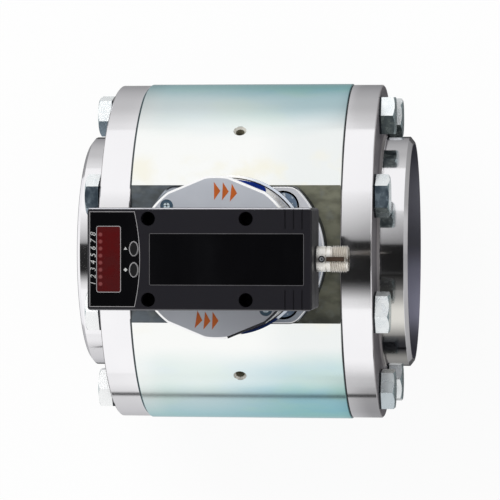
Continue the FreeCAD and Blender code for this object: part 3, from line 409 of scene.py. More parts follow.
def plated_body_finish(look):
    """Zinc plate: pale crown, teal painted reflection towards the outline, and dull and mottled on the milled
    flat, with painted reflection and shade there.
    """
    f = Finish("plated_body", look.plate_pale)
    x, y, z = f.at
    reach = f.radius(y, z)
    spread = f.math("ABSOLUTE", y)
    cloud = f.noise(22, (0.5, 1, 1))
    side = f.total(f.math("DIVIDE", spread, BODY_RADIUS), f.fade(y, -0.02, 0.02, 0.16),
                   f.vary(cloud, -0.03, 0.03))
    f.coat(f.span(x, 0.085, 0.11), tone(239, 242, 241))
    f.coat(f.both(f.span(f.noise(60), 0.45, 0.7, 0.0, 0.7), f.band(side, 0.38, 0.5, 0.12)), look.plate_cream)
    # Teal and sea green towards the outline: painted reflection
    rise = f.total(f.span(side, 0.66, 0.84, 0.0, 0.6), f.span(side, 0.90, 1.0, 0.0, 0.4))
    teal = f.mix(f.span(f.noise(38, (0.6, 1, 1)), 0.42, 0.62), look.plate_teal, look.plate_sea)
    f.coat(f.both(f.span(x, 0.055, 0.115, 0.5), f.span(x, 0.030, 0.045, 0.4), rise), teal)

    # The milled flat: blue to olive tones painted as its dark reflection, mottled, and painted shade darkest
    # low at the outlet
    flat = f.mix(f.span(x, 0.045, 0.115), look.flat_blue_reflection, look.flat_olive_reflection)
    flat = f.mix(f.span(f.noise(130, (1, 1.6, 1), 4.0), 0.35, 0.68, 0.0, 0.5), flat, tone(72, 70, 60))
    flat = f.mix(f.both(f.fade(y, -0.036, -0.018, 0.8), f.span(x, 0.085, 0.105)), flat, tone(46, 47, 46))
    flat = f.mix(f.span(f.noise(210), 0.5, 0.72, 0.0, 0.4), flat, tone(128, 132, 130))
    top = f.both(f.span(f.facing[2], 0.94, 0.97), f.fade(z, *MILLED_FLAT))
    f.coat(top, flat)
    # Painted shade inside the pipe's bore
    f.coat(f.fade(reach, *BODY_BORE), look.bore)

    # Broken edges at both ends, and the two countersunk holes
    f.coat(f.either(f.fade(x, BODY_LOW.x + 0.45 * MM, BODY_LOW.x + 0.5 * MM),
                    f.span(x, BODY_HIGH.x - 0.3 * MM, BODY_HIGH.x - 0.25 * MM)), look.seam)
    near = f.both(f.span(spread, 0.045, 0.046), f.band(x, HEAD_X - 0.02, HEAD_X + 0.02, MM))
    hole = f.both(f.band(reach, HOLE_FLOOR, BODY_RADIUS - 1.25 * MM, 0.1 * MM), near)
    sink = f.both(f.band(reach, HOLE_FLOOR, BODY_RADIUS - 0.12 * MM, 0.05 * MM), near)
    f.coat(sink, f.mix(hole, tone(206, 203, 194), tone(150, 146, 126)))
    f.bump(f.lines(x, 2600), 0.04, 0.06 * MM)
    return f.surface(f.total(f.vary(cloud, 0.12, 0.17), f.both(top, 0.3)),
                     f.both(f.pick(top, 1.0, 0.35), f.pick(sink, 1.0, 0.2)), Specular_Tint=(0.55, 0.76, 0.80))


def turned_steel_finish(look):
    """Bare turned steel with fine rings: dull, with painted shade, in the bore and on the faces, and painted
    reflection bands low at the outlet.
    """
    f = Finish("turned_steel", look.steel)
    x, y, z = f.at
    reach = f.radius(y, z)
    rings = f.lines(f.total(x, reach), 3200)
    tint = f.vary(f.noise(14))
    f.coat(f.both(tint, 0.5), tone(236, 235, 238))
    # Painted shade in the bore, with a lighter painted reflection band across it
    inside = f.fade(reach, *FLANGE_BORE)
    f.coat(inside, f.mix(f.band(y, -0.032, -0.012, 0.015), look.bore, tone(176, 176, 196)))
    # Flange faces painted dark and matt as shade, lighter on the fillet
    turn = f.math("ABSOLUTE", f.facing[0])
    face = f.both(f.span(turn, 0.02, 0.25), f.band(reach, *FLANGE_FACE, 0.02 * MM))
    dark = f.mix(f.span(turn, 0.6, 0.95), tone(160, 156, 157), tone(112, 109, 113))
    f.coat(face, f.mix(f.both(tint, 0.3), dark, tone(70, 66, 68)))
    f.coat(f.fade(x, *WELD_END), tone(140, 138, 142))

    # Painted reflection low on the outlet stub: dark bands and bright streaks
    stub_reflection = f.both(f.span(y, -0.0445, -0.0315), f.span(y, -0.0285, -0.0185, 1.0, 0.33),
                    f.span(y, -0.0175, -0.0140, 1.0, 0.5))
    stub_reflection = f.either(stub_reflection, f.fade(y, -0.0525, -0.0470, 0.85))
    stub = f.both(f.band(reach, *STUB_WALL, 0.1 * MM), f.band(x, *OUTLET_STUB, 0.1 * MM),
                  f.span(z, 0.0, 0.01), f.fade(y, -0.0105, -0.0085))
    f.coat(stub, f.mix(stub_reflection, tone(62, 62, 66), tone(216, 214, 208)))

    # Painted darker reflections, softer through roughness, low on the outlet flange's rim
    rim = f.both(f.span(reach, *FLANGE_RIM), f.span(x, *OUTLET_HALF))
    dim = f.both(rim, f.fade(y, -0.0600, -0.0500, 0.25), f.span(y, -0.0830, -0.0780))
    f.coat(dim, tone(40, 40, 42))
    blur = f.both(rim, f.band(y, -0.0630, -0.0540, 0.004), 0.12)
    f.bump(rings, 0.03, 0.04 * MM)
    return f.surface(f.total(f.vary(rings, 0.07, 0.12), f.both(inside, 0.35), blur, f.both(face, 0.4)),
                     f.pick(face, 1.0, 0.0), Specular_IOR_Level=0.05, Specular_Tint=(0.78, 0.78, 0.8))


def bolt_finish(look):
    """Bright zinc bolts, with painted shade on the facets turned down, on the lowest outlet bolts and on the
    ends, a painted highlight on the inlet's lower bolts, painted reflection on the front facets and a painted
    shadow at the foot of the head.
    """
    f = Finish("bolt_zinc", look.zinc)
    x, y, z = f.at
    cloud = f.noise(260)
    outlet = f.span(x, *OUTLET_HALF)
    f.coat(f.span(cloud, *PATCH, 0.0, 0.3), tone(204, 216, 224))
    # Painted highlight on the inlet's lower bolts
    f.coat(f.both(f.fade(y, -0.005, 0.005, 0.9), f.math("SUBTRACT", 1.0, outlet)), tone(253, 254, 254))
    # Painted shade on the lowest outlet bolts, off their front facets
    foremost = f.both(f.fade(y, -0.070, -0.055), outlet, f.span(z, -0.01, 0.0))
    f.coat(f.both(foremost, f.fade(f.facing[2], 0.90, 0.95, 0.65)), tone(166, 182, 190))
    # Painted shade on the facets turned down, on the upper bolts
    below = f.both(f.fade(f.facing[1], -0.35, -0.15), f.span(y, -0.005, 0.005))
    shade = f.mix(f.span(cloud, *SPOT), tone(80, 91, 94), tone(116, 126, 124))
    f.coat(below, f.mix(outlet, tone(150, 168, 180), shade))
    # Painted reflection, dark, on the front facets of the upper bolts
    front = f.both(f.span(f.facing[2], 0.93, 0.97), f.band(y, 0.0, 0.045, 0.005))
    f.coat(front, f.mix(f.span(cloud, 0.35, 0.65), tone(74, 87, 98), tone(118, 132, 142)))
    # Painted shade on the ends facing along the pipe
    f.coat(f.span(f.math("ABSOLUTE", f.facing[0]), 0.3, 0.5), tone(146, 164, 168))
    # Painted shadow at the foot of each head
    inlet_foot, outlet_foot = BOLTS_LOW + BOLT_HEAD, BOLTS_HIGH - BOLT_HEAD
    f.coat(f.either(f.band(x, inlet_foot - BOLT_FOOT, inlet_foot, 0.1 * MM),
                    f.band(x, outlet_foot, outlet_foot + BOLT_FOOT, 0.1 * MM)), tone(20, 28, 34))
    f.grain(2400, 0.05)
    return f.surface(f.vary(cloud, 0.18, 0.3), 0.45)


def bright_metal_finish(name, shade, rough):
    """Plated fasteners and small turned pieces, with a little grain and tarnish."""
    f = Finish(name, shade)
    cloud = f.noise(160)
    f.coat(f.span(cloud, *PATCH, 0.0, 0.35), dimmed(shade, 0.55))
    f.grain(2400, 0.05)
    return f.surface(f.vary(cloud, rough * 0.8, rough * 1.3), 1.0)


def base_plate_finish(look):
    """Machined satin plate with faint straight lay: painted light towards the outlet on the +Y side, painted
    shade low and at the inlet end, painted dark shade at its edge and screw seats, and a painted highlight on
    its chamfer towards the outlet.
    """
    f = Finish("base_steel", look.base)
    x, y, z = f.at
    lay = f.lines(f.total(x, f.both(y, 0.3)), 2400)
    f.coat(f.vary(f.noise(45, detail=4.0), 0.0, 0.3), dimmed(look.base, 0.82))
    # Painted shade over the lower half and at the inlet end
    low = f.both(f.fade(y, -0.02, 0.0, 0.8), f.span(x, HEAD_X, HEAD_X + 0.01, 1.0, 0.2))
    f.coat(f.either(low, f.fade(x, HEAD_X - 0.036, HEAD_X - 0.030, 0.9)), tone(66, 72, 78))
    # Painted light on the +Y side towards the outlet
    f.coat(f.both(f.span(x, HEAD_X, HEAD_X + 0.01), f.span(y, 0.0, 0.01)), tone(214, 216, 222))
    # Painted dark shade on the walls, in the screw seats and on the chamfers facing Y
    dark = f.either(f.fade(f.facing[2], 0.3, 0.6), f.fade(z, BASE_TOP - 1.2 * MM, BASE_TOP - MM),
                    f.span(f.math("ABSOLUTE", f.facing[1]), 0.45, 0.6))
    f.coat(dark, tone(24, 29, 36))
    # Painted highlight on the chamfer towards the outlet
    arris_highlight = f.both(f.span(z, BASE_TOP - 0.45 * MM, BASE_TOP - 0.35 * MM),
                   f.band(f.facing[2], 0.4, 0.94, 0.03), f.span(x, HEAD_X - 0.005, HEAD_X + 0.005))
    f.coat(arris_highlight, tone(236, 236, 236))
    f.bump(lay, 0.06)
    return f.surface(f.vary(lay, 0.37, 0.47), f.pick(dark, 0.3, 0.0), Specular_IOR_Level=0.2)


def cap_screw_finish(look):
    """Blue zinc cap screws with painted glints as bright specks, and painted shade down their sides."""
    f = Finish("screw_zinc", look.screw)
    glint_speck = f.noise(420, detail=2.0)
    f.coat(f.span(f.noise(160), *SPOT), dimmed(look.screw, 0.7))
    # Painted glints: bright specks
    f.coat(f.span(glint_speck, 0.58, 0.68, 0.0, 0.8), tone(236, 242, 246))
    # Painted shade down the sides
    f.coat(f.fade(f.facing[2], 0.3, 0.7), tone(30, 36, 44))
    return f.surface(f.vary(glint_speck, 0.3, 0.42), 0.3)


def sunk_screw_finish(look):
    """Countersunk screws: slate round the head, a painted highlight in the middle, with a painted dark dot of
    shade at its centre.
    """
    f = Finish("screw_slate", look.screw_slate)
    x, y, _ = f.at
    cloud = f.noise(300)
    across = f.math("ABSOLUTE", f.math("SUBTRACT", x, HEAD_X))
    reach = f.radius(across, f.math("SUBTRACT", f.math("ABSOLUTE", y), SUNK_Y), SUNK_X)
    f.coat(f.span(cloud, *SPOT, 0.0, 0.6), dimmed(look.screw_slate, 0.5))
    # Painted highlight in the middle of the head
    f.coat(f.fade(reach, 1.3 * MM, 1.6 * MM), tone(226, 240, 246))
    # Painted shade: dark dot at the centre
    f.coat(f.fade(reach, 0.35 * MM, 0.55 * MM), tone(58, 66, 74))
    f.grain(2400, 0.05)
    return f.surface(f.vary(cloud, 0.3, 0.42), 0.1)


def set_screw_finish(look):
    """Small headless screw: a silver ring, painted dark as shade in its socket and round its rim."""
    f = Finish("screw_silver", tone(206, 208, 210))
    x, y, _ = f.at
    ring = f.band(f.radius(x, y, SCREW_X), 0.34 * SCREW_RADIUS, 0.66 * SCREW_RADIUS, 0.1 * SCREW_RADIUS)
    rim = f.math("SUBTRACT", 1.0, ring)
    cloud = f.noise(420)
    f.coat(f.span(cloud, *SPOT, 0.0, 0.5), look.screw)
    # Painted shade in the socket and round the rim
    f.coat(rim, look.rubber)
    return f.surface(f.vary(cloud, 0.3, 0.42), f.pick(rim, 0.5, 0.0))


def neck_finish(look):
    """Turned neck with a pale collar and blue flats between beige lands, with painted shade at the lands'
    foot, on the collar's walls facing +Y and round the column's foot, and a painted blue reflection on the
    collar.
    """
    f = Finish("neck_steel", look.neck)
    x, y, z = f.at
    reach = f.radius(x, y, HEAD_X)
    upper = f.span(z, *COLLAR_TOP)
    flat = f.both(f.fade(reach, *COLUMN_FLATS), upper)
    turned_lines = f.lines(z, 3000)
    f.coat(f.vary(turned_lines, 0.0, 0.4), tone(196, 190, 184))
    # Painted shade, dark brown, at the foot of the lands
    f.coat(f.fade(z, 0.0990, 0.1035, 0.95), tone(30, 24, 20))
    lands = f.paint

    # The collar, with a painted blue reflection under one flat
    f.paint = f.mix(f.span(x, HEAD_X + 0.004, HEAD_X + 0.016), tone(250, 249, 246), tone(212, 219, 230))
    towards = f.math("SUBTRACT", f.both(f.math("SUBTRACT", x, HEAD_X), GLINT_X), f.both(y, GLINT_Y))
    f.coat(f.span(f.math("DIVIDE", towards, reach), 0.964, 0.972), tone(18, 34, 72))
    # Painted shade on the collar's walls facing +Y
    f.coat(f.both(f.fade(f.facing[2], 0.3, 0.5), f.span(f.facing[1], 0.3, 0.5)), tone(88, 84, 82))
    # Painted shade round the column's foot
    f.coat(f.fade(reach, *COLUMN_FOOT), tone(44, 38, 34))

    f.coat(upper, lands)
    cloud = f.noise(55, (1, 1, 0.4))
    f.coat(flat, f.mix(f.span(cloud, *SPOT, 0.0, 0.6), look.neck_flat, tone(16, 30, 84)))
    f.bump(turned_lines, 0.05)
    return f.surface(f.pick(flat, 0.24, 0.6), f.both(f.pick(flat, 0.95, 0.0), f.pick(upper, 0.2, 1.0)),
                     Specular_IOR_Level=0.0)


def arrow_plate_finish(look):
    """Matt gray plate with a bright bevel, painted shade on its lower half towards the outlet, and painted
    dark shade on the bevel where it faces the outlet and -Y.
    """
    f = Finish("arrow_plate_gray", look.plate_gray)
    x, y, _ = f.at
    f.coat(f.vary(f.noise(40, detail=4.0), 0.0, 0.3), tone(180, 184, 194))
    # Painted shade on the lower half towards the outlet
    f.coat(f.both(f.fade(y, -0.03, 0.0, 0.4), f.span(x, HEAD_X - 0.01, HEAD_X + 0.02)), tone(142, 142, 150))
    bevel = f.band(f.facing[2], 0.45, 0.88, 0.05)
    # Painted shade on the bevel facing the outlet and -Y
    painted_bevel_shade = f.span(f.math("SUBTRACT", f.facing[0], f.facing[1]), 0.84, 0.9)
    f.coat(bevel, f.mix(painted_bevel_shade, tone(252, 252, 252), tone(44, 45, 48)))
    f.grain(1500, 0.04, 0.04 * MM)
    return f.surface(f.pick(bevel, 0.5, 0.25), f.pick(bevel, 0.15, 0.9))


def housing_finish(look):
    """Charcoal moulding with a fine spark texture and patchy painted highlights along its long top edges."""
    f = Finish("housing_plastic", look.housing)
    cloud = f.noise(70)
    f.coat(f.vary(cloud), dimmed(look.housing, 0.8))
    # Painted highlight along the long top edges, strongest on the +Y side
    rim = COVER_HIGH.y - 0.5 * MM
    edge = f.both(f.span(f.math("ABSOLUTE", f.at[1]), rim, rim + 0.1 * MM), f.span(f.facing[2], 0.3, 0.4),
                  f.span(f.at[1], -0.01, 0.01, 0.3), f.span(cloud, 0.2, 0.5, 0.75))
    f.coat(edge, look.housing_edge_highlight)
    f.grain(2600, 0.10, 0.06 * MM)
    return f.surface(f.vary(cloud, 0.42, 0.52), Specular_IOR_Level=0.3)


def gloss_film_finish(name, shade):
    """Smooth black film with faint smears."""
    f = Finish(name, shade)
    smear = f.noise(50, (1, 0.4, 1), 4.0)
    f.coat(f.span(smear, 0.4, 0.8), [1.6 * c + 0.001 for c in shade])
    f.grain(400, 0.02)
    return f.surface(f.span(smear, 0.3, 0.8, 0.06, 0.12))


def button_finish(look):
    """Soft black key with a printed rim."""
    f = Finish("button_black", tone(18, 18, 20))
    cloud = f.noise(112)
    f.coat(f.vary(cloud), tone(12, 12, 14))
    f.coat(f.band(f.facing[2], 0.45, 0.88, 0.06), look.line)
    f.grain(900, 0.08)
    return f.surface(f.vary(cloud, 0.34, 0.46))


def window_finish(look):
    """Red window with the row of lamps showing behind it."""
    f = Finish("window_red", look.window)
    x, y, _ = f.at
    turn = f.math("FRACT", f.math("DIVIDE", y, LAMP_PITCH))
    along = f.both(f.math("SUBTRACT", turn, 0.5), LAMP_PITCH)
    row_end = LAMPS_HIGH.y + 0.4 * MM
    dot = f.both(f.fade(f.radius(x, along, LAMP_ROW), 0.5 * MM, 1.15 * MM),
                 f.fade(f.math("ABSOLUTE", y), row_end, row_end + 0.1 * MM), 0.85)
    cloud = f.noise(160)
    f.coat(f.vary(cloud), dimmed(look.window, 0.78))
    f.coat(dot, look.lamp)
    f.grain(300, 0.02)
    return f.surface(f.vary(cloud, 0.2, 0.3))


def moulded_finish(name, shade, rough):
    """Small moulded, coated or printed piece with a fine grain."""
    f = Finish(name, shade)
    cloud = f.noise(112.5)
    f.coat(f.vary(cloud), dimmed(shade, 0.75))
    f.grain(900, 0.08)
    return f.surface(f.vary(cloud, rough - 0.06, rough + 0.06))


def connector_finish(look, trim):
    """Nickel plate: ivory on the collar, duller on the thread, with painted shade on its underside, in the
    thread's roots, in the keyway and round the screw.
    """
    f = Finish("connector_nickel", look.ivory)
    x, y, z = f.at
    thread_x = SHELL_HIGH.x - trim.thread_length
    cloud = f.noise(220)
    f.coat(f.span(x, thread_x - 0.1 * MM, thread_x), look.thread)
    f.coat(f.span(cloud, *PATCH, 0.0, 0.3), tone(184, 176, 162))
    # Painted shade on the underside
    f.coat(f.fade(f.facing[2], -0.5, 0.0, 0.8), tone(70, 64, 60))
    # Painted shade in the thread's roots and round the screw
    middle = f.radius(y, f.math("SUBTRACT", z, PLUG_Z))
    groove = f.both(f.fade(middle, PLUG_RADIUS - trim.thread_depth, PLUG_RADIUS, 0.14),
                    f.span(x, thread_x, thread_x + 0.1 * MM))
    well = f.both(f.fade(f.radius(x, y, SCREW_X), 1.45 * MM, 1.55 * MM),
                  f.span(z, PLUG_Z + 4.5 * MM, PLUG_Z + 4.6 * MM))
    f.coat(f.either(groove, well), look.rubber)
    # Painted shade in the keyway
    half = trim.slot_width / 2
    keyway = f.both(f.fade(f.math("ABSOLUTE", y), half, half + 0.05 * MM), f.span(x, SCREW_X, SCREW_X + MM),
                    f.band(z, PLUG_Z + 3.5 * MM, PLUG_Z + 5.3 * MM, 0.1 * MM))
    f.coat(keyway, tone(80, 64, 52))
    f.bump(f.lines(x, 5200), 0.04, 0.04 * MM)
    return f.surface(f.vary(cloud, 0.26, 0.38), f.pick(keyway, 1.0, 0.1))


def dress(material, *nodes):
    """Gives CAD nodes their finish."""
    for node in nodes:
        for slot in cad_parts[node].material_slots:
            slot.material = material


def mesh_object(name, bm, *materials):
    """Puts a bmesh in the scene as an object."""
    mesh = bpy.data.meshes.new(name)
    bm.to_mesh(mesh)
    bm.free()
    for material in materials:
        mesh.materials.append(material)
    made = bpy.data.objects.new(name, mesh)
    bpy.context.scene.collection.objects.link(made)
    return made


def piece(name, bm, material, body=METER):
    """Makes a piece from a bmesh, with its finish, riding on a body."""
    bmesh.ops.recalc_face_normals(bm, faces=bm.faces)
    made = mesh_object(name, bm, material)
    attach(made, body)
    return made


def raise_faces(bm, faces, rise):
    """Gives flat faces their thickness, upwards."""
    grown = bmesh.ops.extrude_face_region(bm, geom=faces)["geom"]
    lifted = [g for g in grown if isinstance(g, bmesh.types.BMVert)]
    bmesh.ops.translate(bm, verts=lifted, vec=(0, 0, rise))


def outline(name, bm, face, width, rise, material):
    """Makes a raised line along the edge of a flat face."""
    face.normal_update()
    rim = bmesh.ops.inset_region(bm, faces=[face], thickness=width, use_even_offset=True,
                                 use_boundary=True)["faces"]
    bmesh.ops.delete(bm, geom=[face], context="FACES_ONLY")
    raise_faces(bm, rim, rise)
    piece(name, bm, material)


def flat_box(bm, low, high, z, corner):
    """Flat rectangle with rounded corners."""
    corners = (low.x, low.y), (high.x, low.y), (high.x, high.y), (low.x, high.y)
    face = bm.faces.new([bm.verts.new((x, y, z)) for x, y in corners])
    bmesh.ops.bevel(bm, geom=list(face.verts), offset=corner, affect="VERTICES", segments=CORNER_STEPS,
                    profile=0.5, material=-1)
    bm.faces.ensure_lookup_table()
    return bm.faces[-1]


def film_face(bm, bulge, z):
    """Outline of the front film, with its bowed edge towards the middle of the housing."""
    half = FILM_HIGH.y
    bow = (half * half + bulge * bulge) / (2 * bulge)
    start = bm.verts.new((FILM_HIGH.x - bulge, -half, z))
    bmesh.ops.spin(bm, geom=[start], cent=(FILM_HIGH.x - bow, 0, z), axis=(0, 0, 1),
                   angle=2 * math.asin(half / bow), steps=BOW_STEPS)
    ends = [start] + sorted((v for v in bm.verts if v is not start), key=lambda v: v.co.y)
    left = [bm.verts.new((FILM_LOW.x, half, z)), bm.verts.new((FILM_LOW.x, -half, z))]
    return bm.faces.new(ends + left)


def disc(bm, middle, half_x, half_y, sides):
    """Flat oval, or a mark with a few sides."""
    made = bmesh.ops.create_circle(bm, cap_ends=True, radius=1.0, segments=sides)["verts"]
    bmesh.ops.scale(bm, verts=made, vec=(half_x, half_y, 1.0))
    bmesh.ops.translate(bm, verts=made, vec=middle)
    return made[0].link_faces[0]


def swept(section, turns=1, pitch=0.0, steps=TURN_STEPS, closed=True):
    """Solid turned about the plug's axis, or wound along it, from the (x, radius) corners of a section."""
    bm = bmesh.new()
    corners = [bm.verts.new((x, 0, PLUG_Z + radius)) for x, radius in section]
    edges = [bm.edges.new(pair) for pair in zip(corners, corners[1:] + corners[:1])]
    bmesh.ops.spin(bm, geom=corners + edges, cent=(0, 0, PLUG_Z), axis=(1, 0, 0), dvec=(pitch / steps, 0, 0),
                   angle=2 * math.pi * turns, steps=steps * turns, use_merge=closed)
    if not closed:
        bmesh.ops.holes_fill(bm, edges=[e for e in bm.edges if e.is_boundary], sides=len(section))
    bmesh.ops.recalc_face_normals(bm, faces=bm.faces)
    return bm


def cutter(low, high):
    """Block between two corners."""
    bm = bmesh.new()
    made = bmesh.ops.create_cube(bm, size=1.0)["verts"]
    bmesh.ops.scale(bm, verts=made, vec=high - low)
    bmesh.ops.translate(bm, verts=made, vec=(low + high) / 2)
    return bm


def evaluated_mesh(context, made):
    """Mesh of an object as its modifiers or its text leave it."""
    context.view_layer.update()
    return bpy.data.meshes.new_from_object(made.evaluated_get(context.evaluated_depsgraph_get()))


def combined(context, base, joined, removed):
    """One closed mesh: a base with one solid joined to it and others cut away."""
    parts = [mesh_object("part", bm) for bm in (base, joined, *removed)]
    for part in parts[1:]:
        modifier = parts[0].modifiers.new("part", "BOOLEAN")
        modifier.solver = "EXACT"
        modifier.operation = "UNION" if part is parts[1] else "DIFFERENCE"
        modifier.object = part
    mesh = evaluated_mesh(context, parts[0])
    bm = bmesh.new()
    bm.from_mesh(mesh)
    for unused in (mesh, *(part.data for part in parts)):
        bpy.data.meshes.remove(unused)
    return bm


class METER_OT_pipe(bpy.types.Operator):
    """Finish the measuring body, the flanges, their bolts and seals"""

    bl_idname = "meter.pipe"
    bl_label = "Pipe pieces"

    def execute(self, context):
        look = context.scene.meter_finish
        dress(plated_body_finish(look), "measuring_body")
        dress(turned_steel_finish(look), "inlet_flange", "outlet_flange")
        dress(bolt_finish(look), "inlet_flange_bolts", "outlet_flange_bolts")
        dress(moulded_finish("seal_rubber", look.rubber, 0.6), "inlet_seal_ring", "outlet_seal_ring",
              "base_plate_seal", "neck_seal", "probe_seal", "housing_gasket", "connector_gasket")
        return {"FINISHED"}


class METER_OT_sensor(bpy.types.Operator):
    """Finish the sensor's base plate, neck, arrow plate, probe and their screws"""

    bl_idname = "meter.sensor"
    bl_label = "Sensor pieces"

    def execute(self, context):
        look = context.scene.meter_finish
        dress(base_plate_finish(look), "sensor_base_plate")
        dress(neck_finish(look), "sensor_neck")
        dress(arrow_plate_finish(look), "arrow_plate")
        dress(cap_screw_finish(look), "base_plate_screws", "neck_screws")
        dress(sunk_screw_finish(look), "arrow_plate_screws")
        # Screws deep in the housing's wells are painted dark as shade
        dress(bright_metal_finish("screw_dark", tone(44, 46, 52), 0.35), "housing_screws")
        probe = bright_metal_finish("probe_steel", look.steel, 0.16)
        dress(probe, "probe_tube", "heated_tip", "reference_tip")
        return {"FINISHED"}


class METER_OT_arrows(bpy.types.Operator):
    """Make the orange flow arrows on the arrow plate"""

    bl_idname = "meter.arrows"
    bl_label = "Flow arrows"

    def execute(self, context):
        look, trim = context.scene.meter_finish, context.scene.meter_trim
        bm = bmesh.new()
        middle = (trim.arrow_inner + trim.arrow_outer) / 2
        half = (trim.arrow_outer - trim.arrow_inner) / 2
        for zero, start, way, inset, creep in (
                (0.0, trim.arrow_start_up, 1, 0.0, 0.0),
                (math.pi, trim.arrow_start_low, -1, trim.arrow_inset, trim.arrow_creep)):
            for k in range(trim.arrow_count):
                turn = start + way * k * trim.arrow_step
                lean = zero + trim.arrow_lean * turn
                out = Vector((math.sin(zero + turn), math.cos(zero + turn), 0))
                base = Vector((HEAD_X, 0, PLATE_HIGH.z)) + out * (middle - inset - k * creep)
                side = Vector((math.sin(lean), math.cos(lean), 0)) * half
                tip = Vector((math.cos(lean), -math.sin(lean), 0)) * way * middle * trim.arrow_reach
                corners = [bm.verts.new(base + step) for step in (-side, side, tip)]
                raise_faces(bm, [bm.faces.new(corners)], trim.print_rise)
        piece("flow_arrows", bm, moulded_finish("arrow_orange", look.arrow, 0.45))
        return {"FINISHED"}


class METER_OT_housing(bpy.types.Operator):
    """Finish the housing, its panel, label and buttons"""

    bl_idname = "meter.housing"
    bl_label = "Housing pieces"

    def execute(self, context):
        look = context.scene.meter_finish
        dress(housing_finish(look), "housing_base", "housing_cover")
        dress(gloss_film_finish("film_black", look.film), "front_film")
        dress(gloss_film_finish("label_black", look.film), "label_plate")
        dress(window_finish(look), "display_window")
        dress(moulded_finish("lamp_red", look.lamp, 0.3), "indicator_leds")
        dress(button_finish(look), "mode_button", "set_button")
        dress(moulded_finish("display_block", tone(60, 52, 50), 0.45), "digit_display")
        dress(moulded_finish("board_green", look.board, 0.35), "sensor_board", "display_board", "main_board")
        dress(moulded_finish("component_black", tone(36, 36, 38), 0.45), "board_header", "main_board_parts",
              "button_switches")
        return {"FINISHED"}


class METER_OT_panel_lines(bpy.types.Operator):
    """Make the printed outlines of the film, the window, the buttons and the label"""

    bl_idname = "meter.panel_lines"
    bl_label = "Panel lines"

    def execute(self, context):
        look, trim = context.scene.meter_finish, context.scene.meter_trim
        material = moulded_finish("panel_line", look.line, 0.4)
        width, rise, z = trim.line_width, trim.print_rise, FILM_HIGH.z
        bm = bmesh.new()
        outline("film_outline", bm, film_face(bm, trim.film_bulge, z), width, rise, material)
        bm = bmesh.new()
        gap = Vector((trim.frame_gap, trim.frame_gap, 0))
        face = flat_box(bm, PANE_LOW - gap, PANE_HIGH + gap, z, trim.frame_corner)
        outline("window_frame", bm, face, width, rise, material)
        grow = trim.ring_gap - BUTTON_RIM
        for name in ("mode_button", "set_button"):
            low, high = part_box(name)
            middle, half = (low + high) / 2, (high - low) / 2
            bm = bmesh.new()
            face = disc(bm, (middle.x, middle.y, z), half.x + grow, half.y + grow, RING_STEPS)
            outline(name + "_ring", bm, face, trim.ring_width, rise, material)
        bm = bmesh.new()
        face = flat_box(bm, LABEL_LOW, LABEL_HIGH, LABEL_HIGH.z, trim.label_corner)
        material = moulded_finish("label_line", look.label_line, 0.4)
        outline("label_outline", bm, face, width, rise, material)
        return {"FINISHED"}


class METER_OT_numbers(bpy.types.Operator):
    """Make the plain numbers beside the lamps"""

    bl_idname = "meter.numbers"
    bl_label = "Lamp numbers"

    def execute(self, context):
        look, trim = context.scene.meter_finish, context.scene.meter_trim
        foot = PANE_LOW.x - trim.number_gap
        bm = bmesh.new()
        for k in range(LAMP_COUNT):
            curve = bpy.data.curves.new("number", "FONT")
            curve.body = str(k + 1)
            curve.size = trim.number_size / FIGURE_HEIGHT
            curve.align_x = "CENTER"
            curve.shear = trim.number_slant
            curve.extrude = trim.print_rise / 2
            typed = bpy.data.objects.new("number", curve)
            context.scene.collection.objects.link(typed)
            mesh = evaluated_mesh(context, typed)
            along = (k - (LAMP_COUNT - 1) / 2) * LAMP_PITCH
            place = Vector((foot, along, FILM_HIGH.z + trim.print_rise / 2))
            mesh.transform(Matrix.Translation(place) @ Matrix.Rotation(math.pi / 2, 4, "Z"))
            bm.from_mesh(mesh)
            bpy.data.objects.remove(typed)
            bpy.data.curves.remove(curve)
            bpy.data.meshes.remove(mesh)
        bmesh.ops.remove_doubles(bm, verts=bm.verts, dist=WELD)
        piece("lamp_numbers", bm, moulded_finish("print_white", look.print_white, 0.5))
        return {"FINISHED"}


class METER_OT_marks(bpy.types.Operator):
    """Make the plain marks beside the buttons"""

    bl_idname = "meter.marks"
    bl_label = "Button marks"

    def execute(self, context):
        look, trim = context.scene.meter_finish, context.scene.meter_trim
        bm = bmesh.new()
        half = trim.mark_size / 2
        for name, sides in (("mode_button", 4), ("set_button", 3)):
            low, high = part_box(name)
            middle = (PANE_HIGH.x + trim.mark_gap, (low.y + high.y) / 2, FILM_HIGH.z)
            raise_faces(bm, [disc(bm, middle, half, half, sides)], trim.print_rise)
        piece("button_marks", bm, moulded_finish("mark_white", look.print_white, 0.5))
        return {"FINISHED"}


